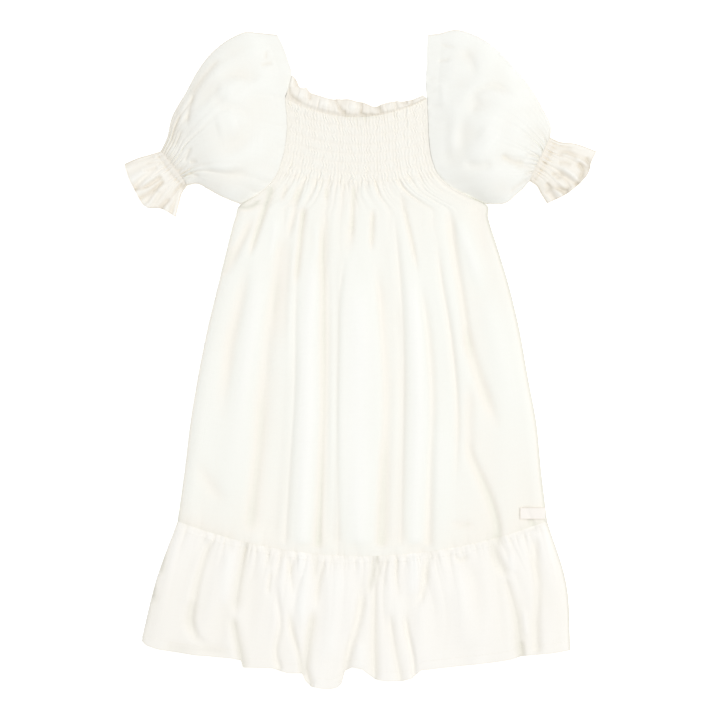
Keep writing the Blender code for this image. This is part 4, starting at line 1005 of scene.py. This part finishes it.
def tube_cloth(name, edges, shift, form, stations, columns, weave, material, replaced, tuck=None):
    """A flattened tube of cloth, open at both ends, with its underside flat on the table. "form" gives the
    height and the painted shade of its upper side. With a tuck its first end reaches into the next tube by
    that vector."""
    across = 0.5 - 0.5 * np.cos(math.pi * np.linspace(0.0, 1.0, columns))
    across = 0.35 * across + 0.65 * np.linspace(0.0, 1.0, columns)
    below = np.linspace(1.0, 0.0, UNDERSIDE_COLUMNS)[1:-1]
    along, share = np.meshgrid(stations, across, indexing="ij")
    plan = patch(*edges, along, share) + shift(stations)[:, None, :]
    width = np.linalg.norm(np.diff(plan, axis=1), axis=2).sum(axis=1)[:, None]
    lift = np.sqrt(np.maximum(1.0 - np.abs(2.0 * share - 1.0) ** 2.6, 0.0))
    height, painted_shade = form(along, share, plan[..., 0], plan[..., 1])
    raised = np.maximum(height, LOWEST_TUBE)
    top = FOLD_RADIUS + (raised - FOLD_RADIUS) * lift
    # Painted shade along both edges, where the cloth turns under.
    painted_shade = painted_shade + 0.75 * near(np.minimum(share, 1.0 - share) * width, 1.3)

    def ring_part(shares, z):
        where = np.broadcast_to(stations[:, None], shares.shape)
        found = patch(*edges, where, shares) + shift(stations)[:, None, :]
        return in_frame(found[..., 0], found[..., 1], z)

    fold = FOLD_RADIUS / width
    foot = 1.0 - fold, *(np.full(width.shape, s) for s in below), fold
    foot = np.concatenate(foot, axis=1)
    lying = patch(*edges, np.broadcast_to(stations[:, None], foot.shape), foot)
    wrinkles = 0.3 * np.maximum(ripple(lying[..., 0], lying[..., 1], (26.0, 34.0), 117), 0.0)
    wrinkles *= smooth(np.minimum(foot, 1.0 - foot) / 0.12)
    outer = np.concatenate([in_frame(plan[..., 0], plan[..., 1], top), ring_part(foot, wrinkles)], axis=1)
    inset = 1.25 * CLOTH / width
    slope = np.gradient(top, axis=1) / np.maximum(np.gradient(share, axis=1) * width, 0.1)
    ceiling = np.maximum(top - upright(slope), CLOTH + 0.5)
    ceiling[:, [0, -1]] = CLOTH + 0.6
    inner_share, inner_foot = (inset + (1.0 - 2.0 * inset) * s for s in (share, foot))
    floor_side = ring_part(inner_foot, CLOTH + wrinkles * 0.5)
    inner = np.concatenate([ring_part(inner_share, ceiling), floor_side], axis=1)
    # Painted shade on the underside where its wrinkles lift off the table.
    tones = np.concatenate([painted_shade, OPEN_PAINTED_SHADE["back"] + 0.3 * wrinkles], axis=1)
    if tuck is not None:
        centre = (outer[:1, :columns].mean(axis=1, keepdims=True)) * (1.0, 1.0, 0.0)
        slim = 1.0 - 2.4 / width[0, 0]
        moved = np.array([tuck[0] * MM, -tuck[1] * MM, 0.4 * MM])
        first = [centre + (ring[:1] - centre) * (slim, slim, 0.92) + moved for ring in (outer, inner)]
        outer, inner = (np.concatenate([extra, ring]) for extra, ring in zip(first, (outer, inner)))
        # Painted shade on the ring tucked into the next tube.
        tones = np.concatenate([tones[:1] + 0.4, tones])
        stations = np.concatenate([[stations[0] - 0.02], stations])
    rows, around = outer.shape[:2]
    first = rows * around
    r, c = np.meshgrid(np.arange(rows - 1), np.arange(around), indexing="ij")
    turn = (c + 1) % around
    quads = np.stack([r * around + c, r * around + turn, (r + 1) * around + turn, (r + 1) * around + c], -1)
    quads = quads.reshape(-1, 4)
    faces = [*quads.tolist(), *(first + quads[:, ::-1]).tolist()]
    for start in (0, (rows - 1) * around):
        for a, b in ((start + i, start + (i + 1) % around) for i in range(around)):
            faces.append((a, first + a, first + b, b))
    around_share = np.concatenate([across, 1.0 + (1.0 - foot[0])])
    uv = np.stack(np.meshgrid(around_share * weave[0] / 2, stations * weave[1]), axis=-1)
    return two_sided(name, outer, inner, faces, uv, tones, material, replaced)


def armhole_path(sizes):
    drops = [*np.linspace(YOKE_DROP, YOKE_END, 15), 155, 163, 171, 180]
    return [*sizes["neck"][:-1], *((side_x(sizes["side"], d), d) for d in drops)]


def sleeve(name, sizes, seed, replaced):
    outwards = OUTWARDS[sizes["side"]]
    start = armhole_path(sizes)
    end = [sizes["outer"][-1], sizes["lower"][-1]]
    edges = (sizes["outer"], sizes["lower"], start, end)
    neck_share = path_shares(start)[len(sizes["neck"]) - 1]

    def shift(along):
        return np.tile([outwards * SEAM_GAP, -SEAM_GAP], (len(along), 1))

    def form(along, across, x, drop):
        dome = read(PUFF_HEIGHT, "along", "height", along)
        cloth = across * SLEEVE_CLOTH
        from_cuff, from_seam = (1.0 - along) * 110.0, along * 120.0
        pleats = gathers("sleeve_end", cloth, from_cuff, seed)
        pleats *= sizes["pleating"] * (0.35 + 0.65 * smooth(from_cuff / 5.0))
        seam = gathers("sleeve_top", cloth, from_seam, seed + 7)
        seam *= smooth(from_seam / 3.0)
        soft = 1.1 * ripple(x, drop, (46.0, 40.0), seed + 13) * smooth(along / 0.2)
        neck = 1.0 - smooth((across - neck_share) / 0.06)
        band = 0.35 * neck * near(from_seam - CASING, 1.6)
        folds, fold_painted_shade = creased(x, drop, sizes["creases"])
        # Painted shade of the sleeve: the creases' painted shade, lighter on the crests of its pleats and
        # waves, darker where it is gathered into the cuff and along the seams.
        painted_shade = sizes["tone"] + 0.7 * fold_painted_shade - 0.08 * pleats - 0.06 * seam - 0.07 * soft
        painted_shade += 0.36 * np.exp(-from_cuff / 13.0) + 0.1 * near(from_cuff, 3.0)
        painted_shade += 0.06 * near(from_seam, 1.4)
        into_seam = smooth(from_cuff / 2.4)
        folds *= into_seam * (0.35 + 0.65 * smooth(from_cuff / 16.0))
        return dome + pleats + (seam + soft) * into_seam - band - folds - 0.9 * near(from_cuff, 2.0), painted_shade

    stations = np.concatenate([np.linspace(0.0, 0.14, 22)[:-1], np.linspace(0.14, 1.0, 92)])
    return tube_cloth(name, edges, shift, form, stations, SLEEVE_COLUMNS, SLEEVE_WEAVE, SLEEVE_LINEN,
                      replaced)


def cuff(name, sizes, sleeve_sizes, seed, replaced):
    start = [sleeve_sizes["outer"][-1], sleeve_sizes["lower"][-1]]
    edges = (sizes["top"], sizes["foot"], start, sizes["end"])
    seam = np.array(start[1], float) - np.array(start[0], float)
    outwards = np.array([OUTWARDS[sizes["side"]] * abs(seam[1]), abs(seam[0])]) / np.linalg.norm(seam)
    own_gap = outwards * 2 * SEAM_GAP + np.array([0.0, -SEAM_GAP])

    def shift(along):
        return (1.0 - along)[:, None] * own_gap

    def form(along, across, x, drop):
        base = read(CUFF_HEIGHT, "along", "height", along)
        cloth = across * CUFF_CLOTH
        open_end = smooth((along - 0.2) / 0.6)
        fine = gathers("cuff", cloth, np.abs(along - CUFF_PINCH) * 40.0, seed)
        fine *= 0.35 + 0.65 * smooth(along / 0.08)
        sway = 5.0 * ripple(cloth, 0.0 * cloth, 40.0, seed + 3)
        flutes = 2.0 * np.sin(2 * math.pi * (cloth + sway) / 21.0)
        wavy = (flutes + 1.4 * ripple(cloth, along * 20.0, (16.0, 50.0), seed + 5)) * open_end
        pinch = 0.9 * near(along - CUFF_PINCH, 0.04)
        folds, fold_painted_shade = creased(x, drop, sizes["creases"])
        # Painted shade of the cuff: the creases' painted shade, lighter on the crests of its gathers and
        # flutes, darker at the elastic, at the seam and along its open end.
        painted_shade = sizes["tone"] + 0.8 * fold_painted_shade - 0.1 * fine - 0.07 * wavy
        painted_shade += 0.2 * near(along - CUFF_PINCH, 0.05)
        painted_shade += 0.2 * near(along, 0.05) + 0.3 * near(1.0 - along, 0.03)
        return base + fine + wavy - pinch - 0.85 * folds, painted_shade

    stations = np.linspace(0.0, 1.0, 64)
    return tube_cloth(name, edges, shift, form, stations, CUFF_COLUMNS, CUFF_WEAVE, FRILL_LINEN, replaced,
                      tuck=-(outwards * CUFF_TUCK + own_gap))


# The tab in the side seam

def side_tab():
    """A loop of woven tape, left bare, caught in the side seam by its right-hand end."""
    rows, columns = GRIDS["tab"]
    tab_x = np.linspace(TAB["seam_x"] - TAB["length"], TAB["seam_x"], columns)
    tab_drop = TAB["drop"] + TAB["height"] * (np.linspace(0.0, 1.0, rows) - 0.5)
    x, drop = np.meshgrid(tab_x, tab_drop)
    under = np.maximum.reduce([
        front_point((x + dx).ravel(), drop.ravel()).reshape(x.shape) for dx in (-3.0, 0.0, 2.0)
    ])
    kernel = np.ones(9) / 9
    padded = np.pad(under, ((0, 0), (4, 4)), mode="edge")
    eased = np.array([np.convolve(line, kernel, mode="valid") for line in padded])
    base = np.maximum(eased, under) + 0.4
    u, v = (tab_x - tab_x[0]) / TAB["length"], np.linspace(0.0, 1.0, rows)
    from_fold = u[None, :] * TAB["length"]
    from_selvedge = np.minimum(v, 1 - v)[:, None] * TAB["height"]
    top = base + TAB["thick"] + 0.35 * near(from_fold, 1.2) + 0.18 * near(from_selvedge, 0.8)
    uv = np.stack([(x - tab_x[0]) * MM, (drop - tab_drop[0]) * MM], axis=-1)
    # The tape is darker along its two selvedges and its fold.
    painted_shade = OPEN_PAINTED_SHADE["tape"] + 0.6 * near(np.minimum(from_selvedge, from_fold), 0.7)
    return shell("side_tab_tape", x, drop, top, base, uv, painted_shade, TAPE, "side_tab", "woven_tape")


# Sewing

def stitch_row(name, points, pitch=3.0, length=2.1, radius=0.19):
    """Thread that shows as one short stitch after another along a path on the cloth."""
    points = np.asarray(points, float)
    keys = path_shares(points)
    total = np.linalg.norm(np.diff(points, axis=0), axis=1).sum() / MM
    sides, sink = 6, 0.02
    profile = ((0.0, 0.35), (0.18, 0.95), (0.5, 1.0), (0.82, 0.95), (1.0, 0.35))
    end_cap = (len(profile) - 1) * sides

    def at(share):
        return np.array([np.interp(share, keys, points[:, i]) for i in range(3)])

    verts, faces = [], []
    for start in (np.arange(int(total // pitch)) * pitch + (pitch - length) / 2) / total:
        a, b = at(start), at(start + length / total)
        line = Vector(b - a).normalized()
        out = line.cross(Vector((0, 0, 1))).normalized()
        up = out.cross(line)
        first = len(verts)
        for share, swell in profile:
            arch = 0.5 * radius * math.sin(math.pi * share)
            centre = Vector(a + (b - a) * share) + up * (arch - sink) * MM
            for turn in (2 * math.pi * s / sides for s in range(sides)):
                verts.append(centre + (out * math.cos(turn) + up * math.sin(turn)) * radius * swell * MM)
        for ring in range(first, first + end_cap, sides):
            for s in range(sides):
                a0, a1 = ring + s, ring + (s + 1) % sides
                faces.append((a0, a1, a1 + sides, a0 + sides))
        faces.append(tuple(range(first, first + sides)))
        faces.append(tuple(reversed(range(first + end_cap, first + end_cap + sides))))
    uv = [(v.x, v.y) for v in verts]
    painted_shade = np.full(len(verts), OPEN_PAINTED_SHADE["thread"])
    return make_piece(name, verts, faces, uv, painted_shade, THREAD, sharp=80)


def yoke_threads():
    """Shirring threads, which show as small stitches along each row of the yoke."""
    made = []
    for i in range(SHIRRING_ROWS):
        side_drop = YOKE_DROP + (YOKE_END - YOKE_DROP) * i / (SHIRRING_ROWS - 1)
        side_drop = min(max(side_drop, YOKE_DROP + 0.8), YOKE_END - 0.2)
        x = np.linspace(side_x("left", side_drop) + 3.0, side_x("right", side_drop) - 3.0, 420)
        drop, z = front_row(x, side_drop)
        row = in_frame(x, drop, z + 0.1)
        made.append(stitch_row(f"shirring_thread_{i + 1}", row, pitch=3.4, length=1.7, radius=0.16))
    return made


def hem_stitches(grid):
    """The stitches of the hem, and those of the seam above the ruffle."""
    x, drop, top = grid
    hem_row = -1 - np.argmax((drop[-1, 0] - drop[::-1, 0]) > HEM_TURNING)
    return [
        stitch_row(name, in_frame(x[row], drop[row], top[row] + 0.08)[4:-4])
        for name, row in (("hem_stitches", hem_row), ("ruffle_seam_stitches", SEAM_STITCHED_ROW))
    ]


def sky_and_light():
    world = bpy.data.worlds.new("studio")
    world.use_nodes = True
    sky = world.node_tree.nodes["Background"]
    sky.inputs["Color"].default_value = (1.0, 1.0, 1.0, 1.0)
    sky.inputs["Strength"].default_value = SKY_STRENGTH
    bpy.context.scene.world = world
    light = bpy.data.lights.new("overhead", "AREA")
    light.shape = "SQUARE"
    light.size = OVERHEAD["size"]
    light.energy = OVERHEAD["power"]
    lamp = bpy.data.objects.new("overhead", light)
    lamp.location = OVERHEAD["place"]
    lamp.rotation_euler = Vector(OVERHEAD["place"]).to_track_quat("Z", "Y").to_euler()
    bpy.context.scene.collection.objects.link(lamp)


def floor():
    """White paper that glows a little, just under the cloth."""
    mesh = bpy.data.meshes.new("floor")
    half = PAPER_SIDE / 2
    corners = [(x, y, -0.0004) for x, y in ((-half, -half), (half, -half), (half, half), (-half, half))]
    mesh.from_pydata(corners, [], [(0, 1, 2, 3)])
    made = bpy.data.objects.new("floor", mesh)
    paper = bpy.data.materials.new("white_paper")
    paper.use_nodes = True
    shader = paper.node_tree.nodes["Principled BSDF"]
    shader.inputs["Base Color"].default_value = (0.95, 0.95, 0.95, 1.0)
    shader.inputs["Roughness"].default_value = 0.9
    shader.inputs["Emission Color"].default_value = (1.0, 1.0, 1.0, 1.0)
    shader.inputs["Emission Strength"].default_value = PAPER_GLOW
    mesh.materials.append(paper)
    bpy.context.scene.collection.objects.link(made)


def camera():
    lens = bpy.data.cameras.new("camera")
    lens.sensor_width = SENSOR
    field = PHOTO_SIDE * PHOTO_SCALE * MM
    lens.lens = SENSOR * (CAMERA_HEIGHT - SCALE_HEIGHT) / field
    made = bpy.data.objects.new("camera", lens)
    middle_x, middle_drop = spot((PHOTO_SIDE / 2, PHOTO_SIDE / 2))
    made.location = ((middle_x - CENTRE_X) * MM, (CENTRE_DROP - middle_drop) * MM, CAMERA_HEIGHT)
    bpy.context.scene.collection.objects.link(made)
    bpy.context.scene.camera = made


camera()
sky_and_light()
floor()

bpy.context.scene.view_settings.view_transform = "Standard"

yoke, skirt = front_pieces()
hem, hem_grid = hem_ruffle()
back_yoke, back, hem_back = back_pieces()
frill, frill_back = neck_frill()
left_sleeve = sleeve("sleeve_left_cloth", LEFT_SLEEVE, 131, "sleeve_left")
right_sleeve = sleeve("sleeve_right_cloth", RIGHT_SLEEVE, 151, "sleeve_right")
left_cuff = cuff("cuff_left_cloth", LEFT_CUFF, LEFT_SLEEVE, 171, "cuff_left")
right_cuff = cuff("cuff_right_cloth", RIGHT_CUFF, RIGHT_SLEEVE, 191, "cuff_right")
tab = side_tab()
threads = yoke_threads()
hem_threads = hem_stitches(hem_grid)
